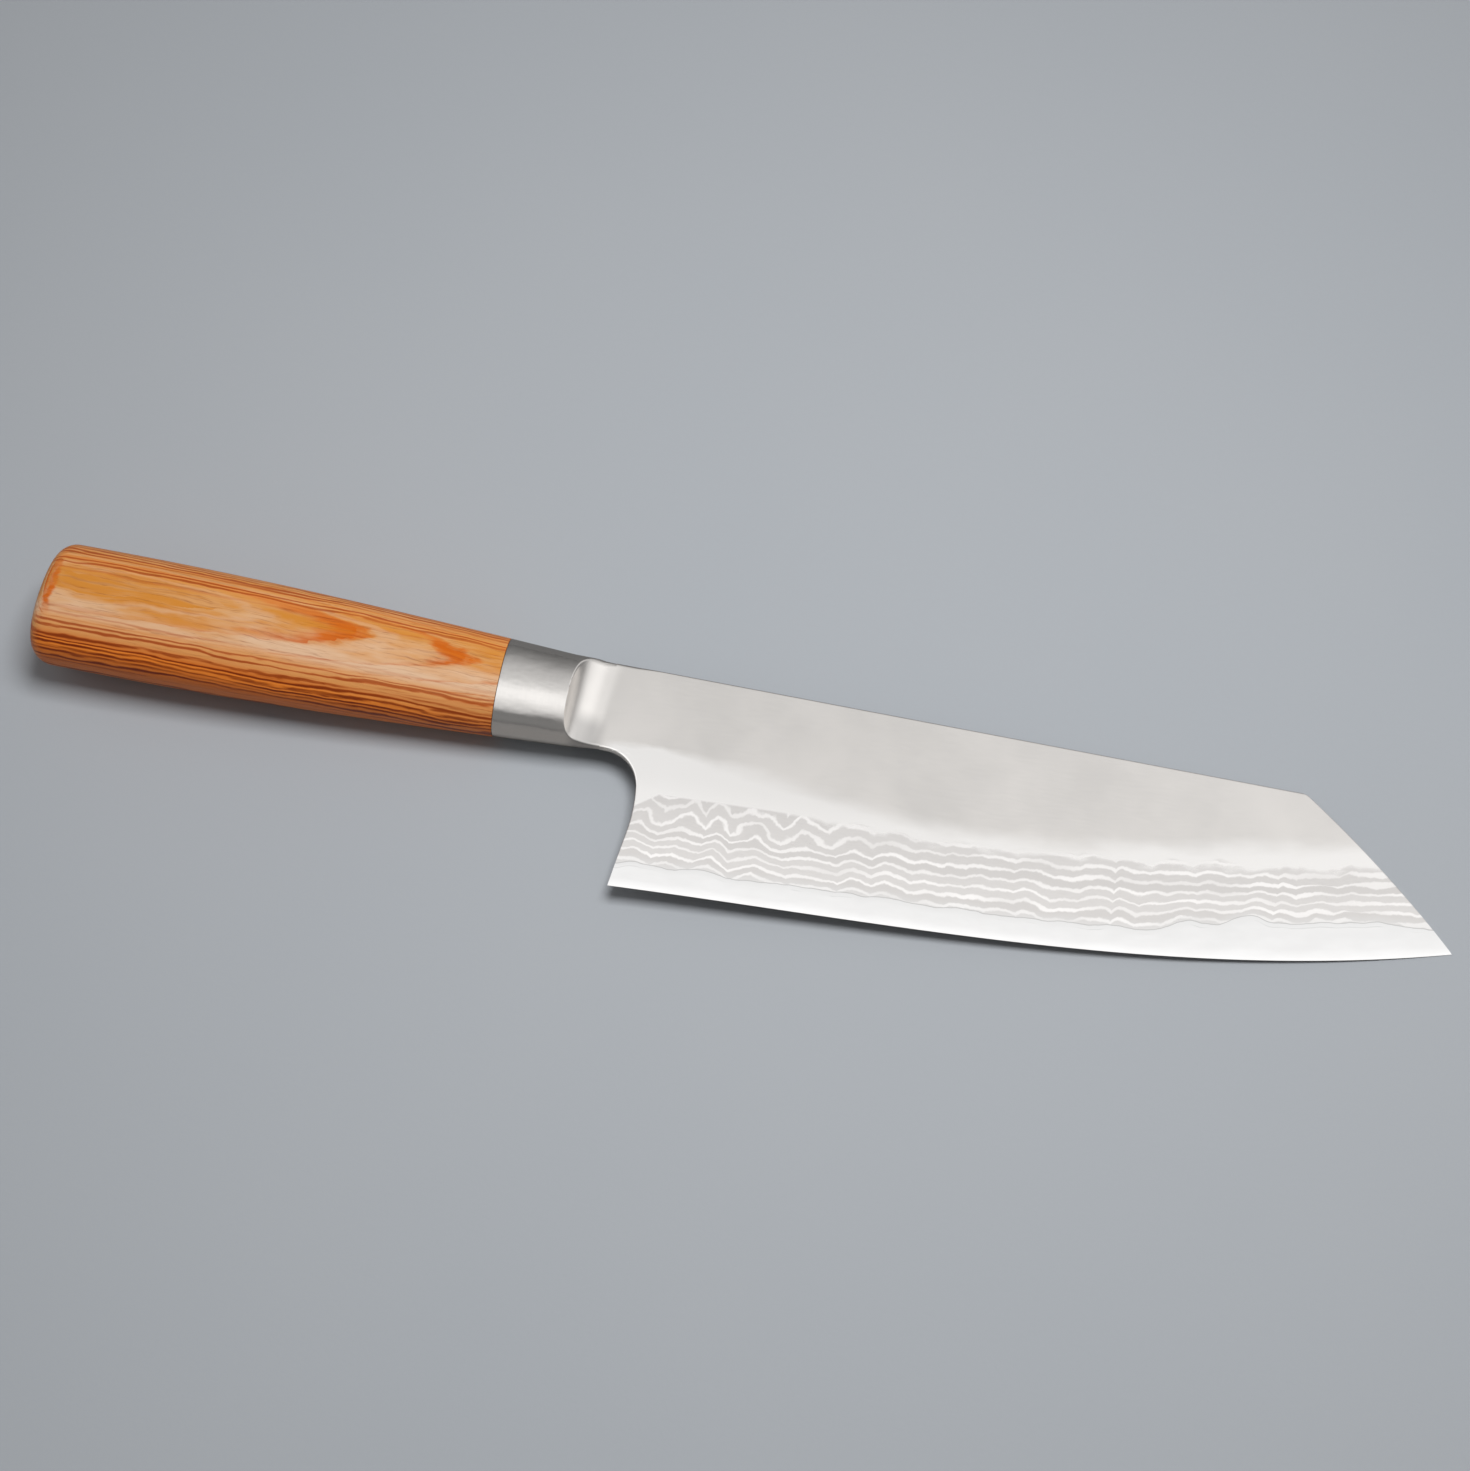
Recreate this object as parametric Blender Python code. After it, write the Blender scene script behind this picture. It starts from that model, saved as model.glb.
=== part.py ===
"""Bunka kitchen knife: a three-layer blade with a steel bolster and a hidden-tang handle of laminated wood.

The knife is drawn in its own frame and then laid down on its side. In that frame X runs along the
handle towards the tip, with x = 0 at the seam between wood and bolster. Y points to the spine, away
from the cutting edge, with y = 0 on the handle's axis. Z is the thickness, with z = 0 midway.
"""

import math

import bmesh
import bpy
import numpy as np
from mathutils import Matrix, Vector

MM = 0.001

# Blade outline, seen from the side.
EDGE_LENGTH = 179.2 * MM            # along X, from the heel to the tip
HEEL_TO_BOLSTER = 7.9 * MM          # along X, from the bolster's front end to the heel
SPINE_HEIGHT = 9.6 * MM             # spine above the handle's axis
HEEL_HEIGHT = 48.5 * MM             # spine down to the heel
TIP_DROP = 28.7 * MM                # spine down to the tip
POINT_LENGTH = 34.2 * MM            # along X, from the spine's corner to the tip
POINT_BULGE = 0.95 * MM             # how far the angled point bows out
CORNER_RADIUS = 3.0 * MM            # where the spine turns down to the point
EDGE_SLOPE_HEEL = 0.06              # rise of the cutting edge at the heel
EDGE_SLOPE_TIP = 0.29               # rise of the cutting edge at the tip
CHOIL_RADIUS = 8.2 * MM             # finger curve under the neck
CHOIL_BOW_RADIUS = 35.0 * MM        # slow curve that follows it
CHOIL_TURN = 8.0                    # degrees short of upright where the slow curve takes over
HEEL_LEAN = 7.5                     # degrees that the straight run to the heel leans back

# Blade thickness.
SPINE_THICKNESS = 2.3 * MM          # at the bolster
SPINE_TIP_THICKNESS = 1.5 * MM      # over the tip
BEVEL_TOP_THICKNESS = 2.05 * MM     # at the bolster's end of the bevel's upper line
BEVEL_HEIGHT = 20.5 * MM            # ground bevel, above the edge
BEVEL_BULGE = 0.05 * MM             # how far each bevel bows out
MICRO_BEVEL_HEIGHT = 0.7 * MM       # final sharpening bevel
MICRO_BEVEL_THICKNESS = 0.30 * MM
EDGE_THICKNESS = 0.06 * MM
CORE_THICKNESS = 0.7 * MM           # hard steel in the middle
LAYER_GAP = 0.05 * MM               # between the core and each cladding

# Neck and stub, which the bolster holds.
NECK_SHOULDER = 0.15 * MM           # step from the blade's side down to the neck's
NECK_LENGTH = 4.0 * MM              # full-height part between the bolster's cheeks
STUB_LENGTH = 12.0 * MM
STUB_HEIGHT = 14.0 * MM

# Bolster.
BOLSTER_LENGTH = 23.4 * MM          # from the wood to the front end of its cheeks
BOLSTER_FRONT_HEIGHT = 19.2 * MM
BOLSTER_FRONT_THICKNESS = 15.4 * MM  # of the oval that the cheeks are ground from
COVE_RADIUS = 8.8 * MM              # hollow ground from the oval down to the blade
COVE_LEAN = 2.0                     # degrees that the hollow leans towards the tip at the spine
CHEEK_LIP = 0.3 * MM                # cheek's surface above the blade's at its front end
SPIGOT_WALL = 1.3 * MM              # steel round the tang where the bolster enters the wood
SPIGOT_LENGTH = 4.0 * MM

# Handle.
HANDLE_LENGTH = 102.0 * MM
HANDLE_FRONT_HEIGHT = 21.8 * MM
HANDLE_FRONT_THICKNESS = 17.4 * MM
HANDLE_BUTT_HEIGHT = 27.2 * MM
HANDLE_BUTT_THICKNESS = 21.8 * MM
SWELL_LENGTH = 85.0 * MM            # from the front to the tallest section
OVAL_POWER = 2.25                   # 2 is an ellipse, more is squarer
BUTT_RADIUS = 4.0 * MM              # rounded rim of the butt
BUTT_DOME = 1.2 * MM                # crown of the butt's end face
BUTT_WOOD = 16.0 * MM               # solid wood behind the bore

# Tang.
TANG_HEIGHT = 8.5 * MM              # at the bolster
TANG_END_HEIGHT = 5.0 * MM
TANG_THICKNESS = 3.0 * MM
TANG_END_ROOM = 6.0 * MM            # glue behind the tang's end
BEDDING_WALL = 0.7 * MM             # glue round the tang's corners
NOTCH_COUNT = 4                     # glue notches along each edge
NOTCH_START = 12.0 * MM             # from the spigot's end to the first notch
NOTCH_PITCH = 15.0 * MM
NOTCH_DEPTH = 0.7 * MM
NOTCH_LENGTH = 2.4 * MM

SEAT_GAP = 0.1 * MM                 # between pieces that sit on or in each other

# The knife lies on one side, on the handle's belly and the tip, and leans a little to the edge.
LIE_ROLL = 1.792                    # degrees

# Sizes and places that follow from those above.
HEEL_X = BOLSTER_LENGTH + HEEL_TO_BOLSTER
TIP_X = HEEL_X + EDGE_LENGTH
HEEL_Y = SPINE_HEIGHT - HEEL_HEIGHT
TIP_Y = SPINE_HEIGHT - TIP_DROP
CHIN_Y = -BOLSTER_FRONT_HEIGHT / 2
NECK_REAR_X = BOLSTER_LENGTH - NECK_LENGTH
STUB_REAR_X = NECK_REAR_X - STUB_LENGTH
NECK_HALF = SPINE_THICKNESS / 2 - NECK_SHOULDER
SPINE_TAPER = (SPINE_THICKNESS - SPINE_TIP_THICKNESS) / (TIP_X - BOLSTER_LENGTH)
FLAT_TAPER = (SPINE_THICKNESS - BEVEL_TOP_THICKNESS) / (HEEL_HEIGHT - BEVEL_HEIGHT)
BORE_DEPTH = HANDLE_LENGTH - BUTT_WOOD
TANG_FRONT_X = STUB_REAR_X - SEAT_GAP
TANG_REAR_X = TANG_END_ROOM - BORE_DEPTH
TANG_REACH = math.hypot(TANG_HEIGHT, TANG_THICKNESS) / 2
BORE_RADIUS = TANG_REACH + BEDDING_WALL + SEAT_GAP
SPIGOT_RADIUS = TANG_REACH + SEAT_GAP + SPIGOT_WALL
SPIGOT_REAR_X = -SPIGOT_LENGTH

# Mesh fineness.
OVAL_SEGMENTS = 56
BLADE_STATIONS = 60
BEVEL_ROWS = 6
COVE_SEGMENTS = 72
BORE_SEGMENTS = 40
HANDLE_RINGS = 12
RIM_RINGS = 5
DOME_SHARES = (0.75, 0.45, 0.15)    # sizes of the dome's rings, as shares of its rim
BEYOND = 4.0 * MM                   # how far cutters reach past what they cut


def clear_scene():
    for old in list(bpy.data.objects):
        bpy.data.objects.remove(old)


def collection(name):
    made = bpy.data.collections.new(name)
    bpy.context.scene.collection.children.link(made)
    return made


def material(name, colour, roughness, metallic):
    made = bpy.data.materials.new(name)
    made.use_nodes = True
    shader = made.node_tree.nodes["Principled BSDF"]
    shader.inputs["Base Color"].default_value = (*colour, 1.0)
    shader.inputs["Roughness"].default_value = roughness
    shader.inputs["Metallic"].default_value = metallic
    return made


def mesh_object(name, bm, group, finish=None):
    """A new object from a bmesh, shaded smooth between sharp edges."""
    bmesh.ops.recalc_face_normals(bm, faces=bm.faces[:])
    data = bpy.data.meshes.new(name)
    bm.to_mesh(data)
    bm.free()
    data.shade_smooth()
    data.set_sharp_from_angle(angle=math.radians(30))
    made = bpy.data.objects.new(name, data)
    group.objects.link(made)
    if finish:
        data.materials.append(finish)
    return made


def boolean(obj, other, operation):
    """Cuts or joins obj with another mesh, which is then hidden as a guide."""
    made = obj.modifiers.new(f"{operation.lower()}_{other.name}", "BOOLEAN")
    made.operation = operation
    made.object = other
    made.solver = "EXACT"
    other.hide_render = True
    other.display_type = "WIRE"


def outline_solid(name, points, half_thickness, group, finish=None):
    """A flat outline in the XY plane, filled and given a thickness, as a closed mesh."""
    curve = bpy.data.curves.new(name, "CURVE")
    curve.dimensions = "2D"
    curve.fill_mode = "BOTH"
    curve.extrude = half_thickness
    spline = curve.splines.new("POLY")
    spline.points.add(len(points) - 1)
    for spot, (x, y) in zip(spline.points, points):
        spot.co = (x, y, 0.0, 1.0)
    spline.use_cyclic_u = True
    flat = bpy.data.objects.new(name + "_curve", curve)
    group.objects.link(flat)
    view = bpy.context.evaluated_depsgraph_get()
    data = bpy.data.meshes.new_from_object(flat.evaluated_get(view))
    bm = bmesh.new()
    bm.from_mesh(data)
    bmesh.ops.remove_doubles(bm, verts=bm.verts[:], dist=0.001 * MM)
    bpy.data.objects.remove(flat)
    return mesh_object(name, bm, group, finish)


def box(name, low, high, group):
    bm = bmesh.new()
    bmesh.ops.create_cube(bm, size=1.0)
    bmesh.ops.scale(bm, vec=Vector(high) - Vector(low), verts=bm.verts[:])
    bmesh.ops.translate(bm, vec=(Vector(high) + Vector(low)) / 2, verts=bm.verts[:])
    return mesh_object(name, bm, group)


def rod(name, radius, rear_x, front_x, group, finish=None):
    """A round rod along X."""
    bm = bmesh.new()
    bmesh.ops.create_cone(
        bm, cap_ends=True, segments=BORE_SEGMENTS, radius1=radius, radius2=radius, depth=front_x - rear_x,
    )
    along_x = Matrix.Rotation(math.radians(90), 3, "Y")
    bmesh.ops.rotate(bm, cent=(0, 0, 0), matrix=along_x, verts=bm.verts[:])
    bmesh.ops.translate(bm, vec=((front_x + rear_x) / 2, 0, 0), verts=bm.verts[:])
    return mesh_object(name, bm, group, finish)


def arc(centre, radius, start, end, steps):
    """Points on an arc, from one angle in degrees to another."""
    turns = [math.radians(start + (end - start) * i / steps) for i in range(steps + 1)]
    return [(centre[0] + radius * math.cos(a), centre[1] + radius * math.sin(a)) for a in turns]


def bowed_line(start, end, bulge, steps):
    """Points from start to end, bowed to the right of the way by bulge."""
    start, end = Vector(start), Vector(end)
    right = Vector((end.y - start.y, start.x - end.x)).normalized()
    shares = [i / steps for i in range(steps + 1)]
    return [tuple(start.lerp(end, t) + right * 4 * bulge * t * (1 - t)) for t in shares]


def edge_y(x):
    """Height of the cutting edge: a cubic between the heel's and the tip's place and slope."""
    t = max(x - HEEL_X, 0) / EDGE_LENGTH
    return (
        (2 * t**3 - 3 * t**2 + 1) * HEEL_Y
        + (t**3 - 2 * t**2 + t) * EDGE_LENGTH * EDGE_SLOPE_HEEL
        + (3 * t**2 - 2 * t**3) * TIP_Y
        + (t**3 - t**2) * EDGE_LENGTH * EDGE_SLOPE_TIP
    )


def flat_half_thickness(x, y):
    """Half thickness on the blade's flat upper side, which is one plane."""
    return (SPINE_THICKNESS - SPINE_TAPER * (x - BOLSTER_LENGTH) - FLAT_TAPER * (SPINE_HEIGHT - y)) / 2


def bevel_half_thickness(x, above_edge):
    """Half thickness on the bevel, from the sharpened edge up to where the flat begins."""
    micro = MICRO_BEVEL_THICKNESS / 2
    if above_edge <= MICRO_BEVEL_HEIGHT:
        edge = EDGE_THICKNESS / 2
        return edge + (micro - edge) * above_edge / MICRO_BEVEL_HEIGHT
    top = flat_half_thickness(x, edge_y(x) + BEVEL_HEIGHT)
    t = (above_edge - MICRO_BEVEL_HEIGHT) / (BEVEL_HEIGHT - MICRO_BEVEL_HEIGHT)
    return micro + (top - micro) * t + 4 * BEVEL_BULGE * t * (1 - t)


def ground_plate(name, group, finish):
    """The blade's two ground sides, as a plate that is cut to its outline later."""
    rise = (BEVEL_HEIGHT - MICRO_BEVEL_HEIGHT) / BEVEL_ROWS
    heights = [0.0] + [MICRO_BEVEL_HEIGHT + rise * i for i in range(BEVEL_ROWS + 1)]
    rear_x, front_x = STUB_REAR_X - BEYOND, TIP_X + BEYOND
    top_y = SPINE_HEIGHT + BEYOND
    bm = bmesh.new()
    bmesh.ops.create_grid(bm, x_segments=BLADE_STATIONS, y_segments=len(heights), size=0.5)
    for vert in bm.verts:
        row = round((vert.co.y + 0.5) * len(heights))
        x = rear_x + (front_x - rear_x) * (vert.co.x + 0.5)
        if row < len(heights):
            vert.co = (x, edge_y(x) + heights[row], bevel_half_thickness(x, heights[row]))
        else:
            vert.co = (x, top_y, flat_half_thickness(x, top_y))
    grown = bmesh.ops.extrude_face_region(bm, geom=bm.faces[:])["geom"]
    for vert in [part for part in grown if isinstance(part, bmesh.types.BMVert)]:
        vert.co.z = -vert.co.z
    return mesh_object(name, bm, group, finish)


def choil_points(below):
    """From the bolster's chin round the finger curve and down to the heel, on to a height below it."""
    chin = arc((0.0, CHIN_Y - CHOIL_RADIUS), CHOIL_RADIUS, 90, CHOIL_TURN, 14)
    start = Vector(chin[-1])
    turn = math.radians(CHOIL_TURN)
    centre = start - CHOIL_BOW_RADIUS * Vector((math.cos(turn), math.sin(turn)))
    bow = arc(centre, CHOIL_BOW_RADIUS, CHOIL_TURN, -HEEL_LEAN, 5)
    lean = math.tan(math.radians(HEEL_LEAN))
    last_x, last_y = bow[-1]
    to_heel = HEEL_X - (last_x - (last_y - HEEL_Y) * lean)
    foot = (last_x - (last_y - below) * lean, below)
    return [(x + to_heel, y) for x, y in [*chin, *bow[1:], foot]]


def point_points():
    """From the tip up the bowed point and round the corner to the spine."""
    steep = math.atan2(TIP_DROP, POINT_LENGTH)
    turn_x = TIP_X - POINT_LENGTH - CORNER_RADIUS * math.tan(steep / 2)
    turn = arc((turn_x, SPINE_HEIGHT - CORNER_RADIUS), CORNER_RADIUS, 90 - math.degrees(steep), 90, 6)
    return bowed_line((TIP_X, TIP_Y), turn[0], POINT_BULGE, 10) + turn[1:]


def blade_outline():
    """Side outline of the blade, its neck and its stub, anticlockwise. Below the edge it runs wide."""
    below = HEEL_Y - 2 * BEYOND
    point = point_points()
    ahead = Vector(point[0]) + (Vector(point[0]) - Vector(point[1])).normalized() * BEYOND
    return [
        (STUB_REAR_X, STUB_HEIGHT / 2), (STUB_REAR_X, -STUB_HEIGHT / 2),
        (NECK_REAR_X, -STUB_HEIGHT / 2), (NECK_REAR_X, CHIN_Y),
        *choil_points(below), (ahead.x, below), tuple(ahead), *point,
        (NECK_REAR_X, SPINE_HEIGHT), (NECK_REAR_X, STUB_HEIGHT / 2),
    ]


def make_blade(parts, cutters, steel, damascus):
    """The blade's three layers: the same ground plate and outline, each within its own slab."""
    outline = outline_solid("blade_outline", blade_outline(), BEYOND, cutters)
    inner = CORE_THICKNESS / 2
    clad = inner + LAYER_GAP
    rear_x, front_x = STUB_REAR_X - 2 * BEYOND, TIP_X + 2 * BEYOND
    low_y, high_y = HEEL_Y - 2 * BEYOND, SPINE_HEIGHT + 2 * BEYOND
    step_x = BOLSTER_LENGTH + SEAT_GAP
    core = ground_plate("blade_core", parts, steel)
    boolean(core, outline, "INTERSECT")
    slab = box("core_slab", (rear_x, low_y, -inner), (front_x, high_y, inner), cutters)
    boolean(core, slab, "INTERSECT")
    made = [core]
    for side, name in ((1, "right"), (-1, "left")):
        cladding = ground_plate(f"damascus_cladding_{name}", parts, damascus)
        boolean(cladding, outline, "INTERSECT")
        near, far = sorted((side * clad, side * BEYOND))
        slab = box(f"{name}_slab", (rear_x, low_y, near), (front_x, high_y, far), cutters)
        boolean(cladding, slab, "INTERSECT")
        near, far = sorted((side * NECK_HALF, side * 2 * BEYOND))
        shoulder = box(f"{name}_shoulder", (rear_x, low_y, near), (step_x, high_y, far), cutters)
        boolean(cladding, shoulder, "DIFFERENCE")
        made.append(cladding)
    return made


def oval_body(name, rings, group, finish):
    """A solid through squared ovals. Each ring is x, half height and half thickness."""
    power = 2 / OVAL_POWER
    bm = bmesh.new()
    loops = []
    for x, half_height, half_thickness in rings:
        verts = bmesh.ops.create_circle(bm, segments=OVAL_SEGMENTS, radius=1.0)["verts"]
        for vert in verts:
            y = math.copysign(abs(vert.co.x) ** power, vert.co.x)
            z = math.copysign(abs(vert.co.y) ** power, vert.co.y)
            vert.co = (x, y * half_height, z * half_thickness)
        loops.append(list({edge for vert in verts for edge in vert.link_edges}))
    for near, far in zip(loops, loops[1:]):
        bmesh.ops.bridge_loops(bm, edges=near + far)
    for loop in (loops[0], loops[-1]):
        bmesh.ops.contextual_create(bm, geom=loop)
    return mesh_object(name, bm, group, finish)


def bolster_ring(share):
    """The bolster's oval, from the wood at 0 to its front end at 1."""
    height = HANDLE_FRONT_HEIGHT + (BOLSTER_FRONT_HEIGHT - HANDLE_FRONT_HEIGHT) * share
    thickness = HANDLE_FRONT_THICKNESS + (BOLSTER_FRONT_THICKNESS - HANDLE_FRONT_THICKNESS) * share
    return BOLSTER_LENGTH * share, height / 2, thickness / 2


def handle_ring(x):
    """The handle's oval, which swells from the bolster towards the butt along a sine."""
    swell = math.sin(math.pi / 2 * -x / SWELL_LENGTH)
    height = HANDLE_FRONT_HEIGHT + (HANDLE_BUTT_HEIGHT - HANDLE_FRONT_HEIGHT) * swell
    thickness = HANDLE_FRONT_THICKNESS + (HANDLE_BUTT_THICKNESS - HANDLE_FRONT_THICKNESS) * swell
    return x, height / 2, thickness / 2


def handle_rings():
    """Rings along the handle, round the butt's rim and up its dome."""
    front_x = -SEAT_GAP
    rim_x = BUTT_RADIUS + BUTT_DOME - HANDLE_LENGTH
    rings = [handle_ring(front_x + (rim_x - front_x) * i / HANDLE_RINGS) for i in range(HANDLE_RINGS + 1)]
    height, thickness = rings[-1][1:]
    for i in range(1, RIM_RINGS + 1):
        turn = math.pi / 2 * i / RIM_RINGS
        inset = BUTT_RADIUS * (1 - math.cos(turn))
        rings.append((rim_x - BUTT_RADIUS * math.sin(turn), height - inset, thickness - inset))
    end_x, height, thickness = rings[-1]
    for share in DOME_SHARES:
        rings.append((end_x - BUTT_DOME * (1 - share**2), height * share, thickness * share))
    return rings


def cove_cutter(name, side, group):
    """The wheel that grinds a hollow from the oval down to the blade, on one side."""
    bm = bmesh.new()
    bmesh.ops.create_cone(
        bm, cap_ends=True, segments=COVE_SEGMENTS, radius1=COVE_RADIUS, radius2=COVE_RADIUS,
        depth=BOLSTER_FRONT_HEIGHT + 4 * BEYOND,
    )
    upright = Matrix.Rotation(math.radians(90), 3, "X")
    lean = Matrix.Rotation(math.radians(-COVE_LEAN), 3, "Z")
    half_step = Matrix.Rotation(math.pi / COVE_SEGMENTS, 3, "Z")
    bmesh.ops.rotate(bm, cent=(0, 0, 0), matrix=lean @ upright @ half_step, verts=bm.verts[:])
    rise = SPINE_THICKNESS / 2 + CHEEK_LIP + COVE_RADIUS
    bmesh.ops.translate(bm, vec=(BOLSTER_LENGTH, 0, side * rise), verts=bm.verts[:])
    return mesh_object(name, bm, group)


def make_bolster(parts, cutters, steel):
    """Oval collar, ground down at the front to two cheeks that hold the blade's neck."""
    bolster = oval_body("bolster", [bolster_ring(i / 4) for i in range(5)], parts, steel)
    boolean(bolster, rod("spigot", SPIGOT_RADIUS, SPIGOT_REAR_X, SPIGOT_LENGTH, cutters), "UNION")
    boolean(bolster, cove_cutter("right_cove", 1, cutters), "DIFFERENCE")
    boolean(bolster, cove_cutter("left_cove", -1, cutters), "DIFFERENCE")
    neck = NECK_HALF + SEAT_GAP
    tall = BOLSTER_FRONT_HEIGHT / 2 + BEYOND
    stub = STUB_HEIGHT / 2 + SEAT_GAP
    tang = TANG_HEIGHT / 2 + SEAT_GAP
    thick = TANG_THICKNESS / 2 + SEAT_GAP
    slots = (
        ("neck_slot", (NECK_REAR_X - SEAT_GAP, -tall, -neck), (BOLSTER_LENGTH + BEYOND, tall, neck)),
        ("stub_slot", (TANG_FRONT_X - SEAT_GAP, -stub, -neck), (BOLSTER_LENGTH, stub, neck)),
        ("tang_slot", (SPIGOT_REAR_X - BEYOND, -tang, -thick), (STUB_REAR_X, tang, thick)),
    )
    for name, low, high in slots:
        boolean(bolster, box(name, low, high, cutters), "DIFFERENCE")
    return bolster


def tang_outline(grow):
    """Side outline of the tang with its glue notches, made larger all round by grow."""
    def half_height(x):
        share = (TANG_FRONT_X - x) / (TANG_FRONT_X - TANG_REAR_X)
        return (TANG_HEIGHT + (TANG_END_HEIGHT - TANG_HEIGHT) * share) / 2 + grow

    upper = [(TANG_FRONT_X + grow, half_height(TANG_FRONT_X))]
    mouth = NOTCH_LENGTH / 2 - grow
    floor = mouth - NOTCH_DEPTH / 2
    for i in range(NOTCH_COUNT):
        middle = SPIGOT_REAR_X - NOTCH_START - i * NOTCH_PITCH
        bottom = half_height(middle) - NOTCH_DEPTH
        upper.append((middle + mouth, half_height(middle + mouth)))
        upper += [(middle + floor, bottom), (middle - floor, bottom)]
        upper.append((middle - mouth, half_height(middle - mouth)))
    nose = half_height(TANG_REAR_X)
    upper += arc((TANG_REAR_X + nose - grow, 0), nose, 90, 180, 6)
    return upper + [(x, -y) for x, y in upper[-2::-1]]


def make_tang(parts, steel):
    return outline_solid("tang", tang_outline(0.0), TANG_THICKNESS / 2, parts, steel)


def make_resin(parts, cutters, resin):
    """The glue that fills the bore round the tang."""
    front_x = SPIGOT_REAR_X - SEAT_GAP
    bedding = rod("tang_resin", BORE_RADIUS - SEAT_GAP, SEAT_GAP - BORE_DEPTH, front_x, parts, resin)
    hollow = outline_solid("tang_hollow", tang_outline(SEAT_GAP), TANG_THICKNESS / 2 + SEAT_GAP, cutters)
    boolean(bedding, hollow, "DIFFERENCE")
    return bedding


def make_handle(parts, cutters, wood):
    """Laminated wood block with a rounded butt, a seat for the spigot and a blind bore."""
    handle = oval_body("handle", handle_rings(), parts, wood)
    seat = rod("spigot_seat", SPIGOT_RADIUS + SEAT_GAP, SPIGOT_REAR_X - SEAT_GAP, BEYOND, cutters)
    boolean(handle, seat, "DIFFERENCE")
    boolean(handle, rod("tang_bore", BORE_RADIUS, -BORE_DEPTH, BEYOND, cutters), "DIFFERENCE")
    return handle


def world_points(pieces):
    """All corners of the finished pieces, one row each."""
    view = bpy.context.evaluated_depsgraph_get()
    points = []
    for piece in pieces:
        shaped = piece.evaluated_get(view)
        data = shaped.to_mesh()
        points += [tuple(shaped.matrix_world @ vert.co) for vert in data.vertices]
        shaped.to_mesh_clear()
    return np.array(points)


def resting_pitch(points):
    """Angle that brings the tip's side and the handle's side down to the same height."""
    blade = points[points[:, 0] > BOLSTER_LENGTH]
    grip = points[points[:, 0] < 0]
    low, high = 0.0, math.radians(20)
    for _ in range(40):
        pitch = (low + high) / 2
        down = np.array((-math.sin(pitch), 0.0, math.cos(pitch)))
        if (blade @ down).min() > (grip @ down).min():
            low = pitch
        else:
            high = pitch
    return pitch


def lay_down(pieces, cutters):
    """Lays the knife on its side on the table, centred over the origin."""
    carrier = bpy.data.objects.new("knife", None)
    bpy.context.scene.collection.objects.link(carrier)
    for piece in [*pieces, *cutters.objects]:
        piece.parent = carrier
    carrier.rotation_euler.x = math.radians(LIE_ROLL)
    bpy.context.view_layer.update()
    carrier.rotation_euler.y = resting_pitch(world_points(pieces))
    bpy.context.view_layer.update()
    points = world_points(pieces)
    low, high = points.min(axis=0), points.max(axis=0)
    carrier.location = (-(low[0] + high[0]) / 2, -(low[1] + high[1]) / 2, -low[2])


def main():
    clear_scene()
    parts = collection("bunka_knife")
    cutters = collection("cutters")
    core = material("core_steel", (0.84, 0.84, 0.84), 0.25, 1.0)
    damascus = material("damascus_steel", (0.70, 0.69, 0.67), 0.35, 1.0)
    collar = material("bolster_steel", (0.62, 0.61, 0.60), 0.30, 1.0)
    inner = material("tang_steel", (0.50, 0.50, 0.50), 0.45, 1.0)
    wood = material("laminated_wood", (0.62, 0.29, 0.09), 0.35, 0.0)
    resin = material("resin", (0.75, 0.68, 0.50), 0.30, 0.0)
    pieces = [
        *make_blade(parts, cutters, core, damascus),
        make_bolster(parts, cutters, collar),
        make_tang(parts, inner),
        make_resin(parts, cutters, resin),
        make_handle(parts, cutters, wood),
    ]
    lay_down(pieces, cutters)


main()
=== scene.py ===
# %% [markdown]
# # A bunka knife, dressed for its picture
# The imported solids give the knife's sizes and its place on the table. This script keeps them as a
# frame, makes a finer piece over each one that shows, and gives every piece a finish made of nodes.

# %% Load the solids
import math

import bmesh
import bpy
from mathutils import Matrix, Vector, noise


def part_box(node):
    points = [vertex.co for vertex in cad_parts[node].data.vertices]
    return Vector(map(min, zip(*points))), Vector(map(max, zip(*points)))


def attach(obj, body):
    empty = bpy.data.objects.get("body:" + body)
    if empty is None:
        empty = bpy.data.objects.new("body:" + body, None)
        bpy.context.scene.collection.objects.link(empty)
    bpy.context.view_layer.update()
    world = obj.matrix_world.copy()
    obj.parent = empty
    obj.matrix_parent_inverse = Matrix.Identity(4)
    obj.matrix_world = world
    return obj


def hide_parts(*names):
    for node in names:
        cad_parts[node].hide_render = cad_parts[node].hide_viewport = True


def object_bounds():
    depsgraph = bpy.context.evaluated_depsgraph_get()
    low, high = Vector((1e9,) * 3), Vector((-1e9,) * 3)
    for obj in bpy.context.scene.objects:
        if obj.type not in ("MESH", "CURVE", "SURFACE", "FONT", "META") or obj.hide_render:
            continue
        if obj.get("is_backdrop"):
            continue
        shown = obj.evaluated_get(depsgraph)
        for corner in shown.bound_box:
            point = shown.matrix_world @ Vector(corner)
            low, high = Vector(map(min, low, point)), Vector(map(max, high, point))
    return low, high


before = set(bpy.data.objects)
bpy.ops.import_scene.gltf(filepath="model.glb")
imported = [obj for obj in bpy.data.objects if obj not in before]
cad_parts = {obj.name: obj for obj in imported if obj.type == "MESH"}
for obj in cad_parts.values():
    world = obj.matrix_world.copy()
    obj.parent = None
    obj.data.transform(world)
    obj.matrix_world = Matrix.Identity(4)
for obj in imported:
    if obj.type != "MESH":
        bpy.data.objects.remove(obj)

MM = 0.001
scene = bpy.context.scene
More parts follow.
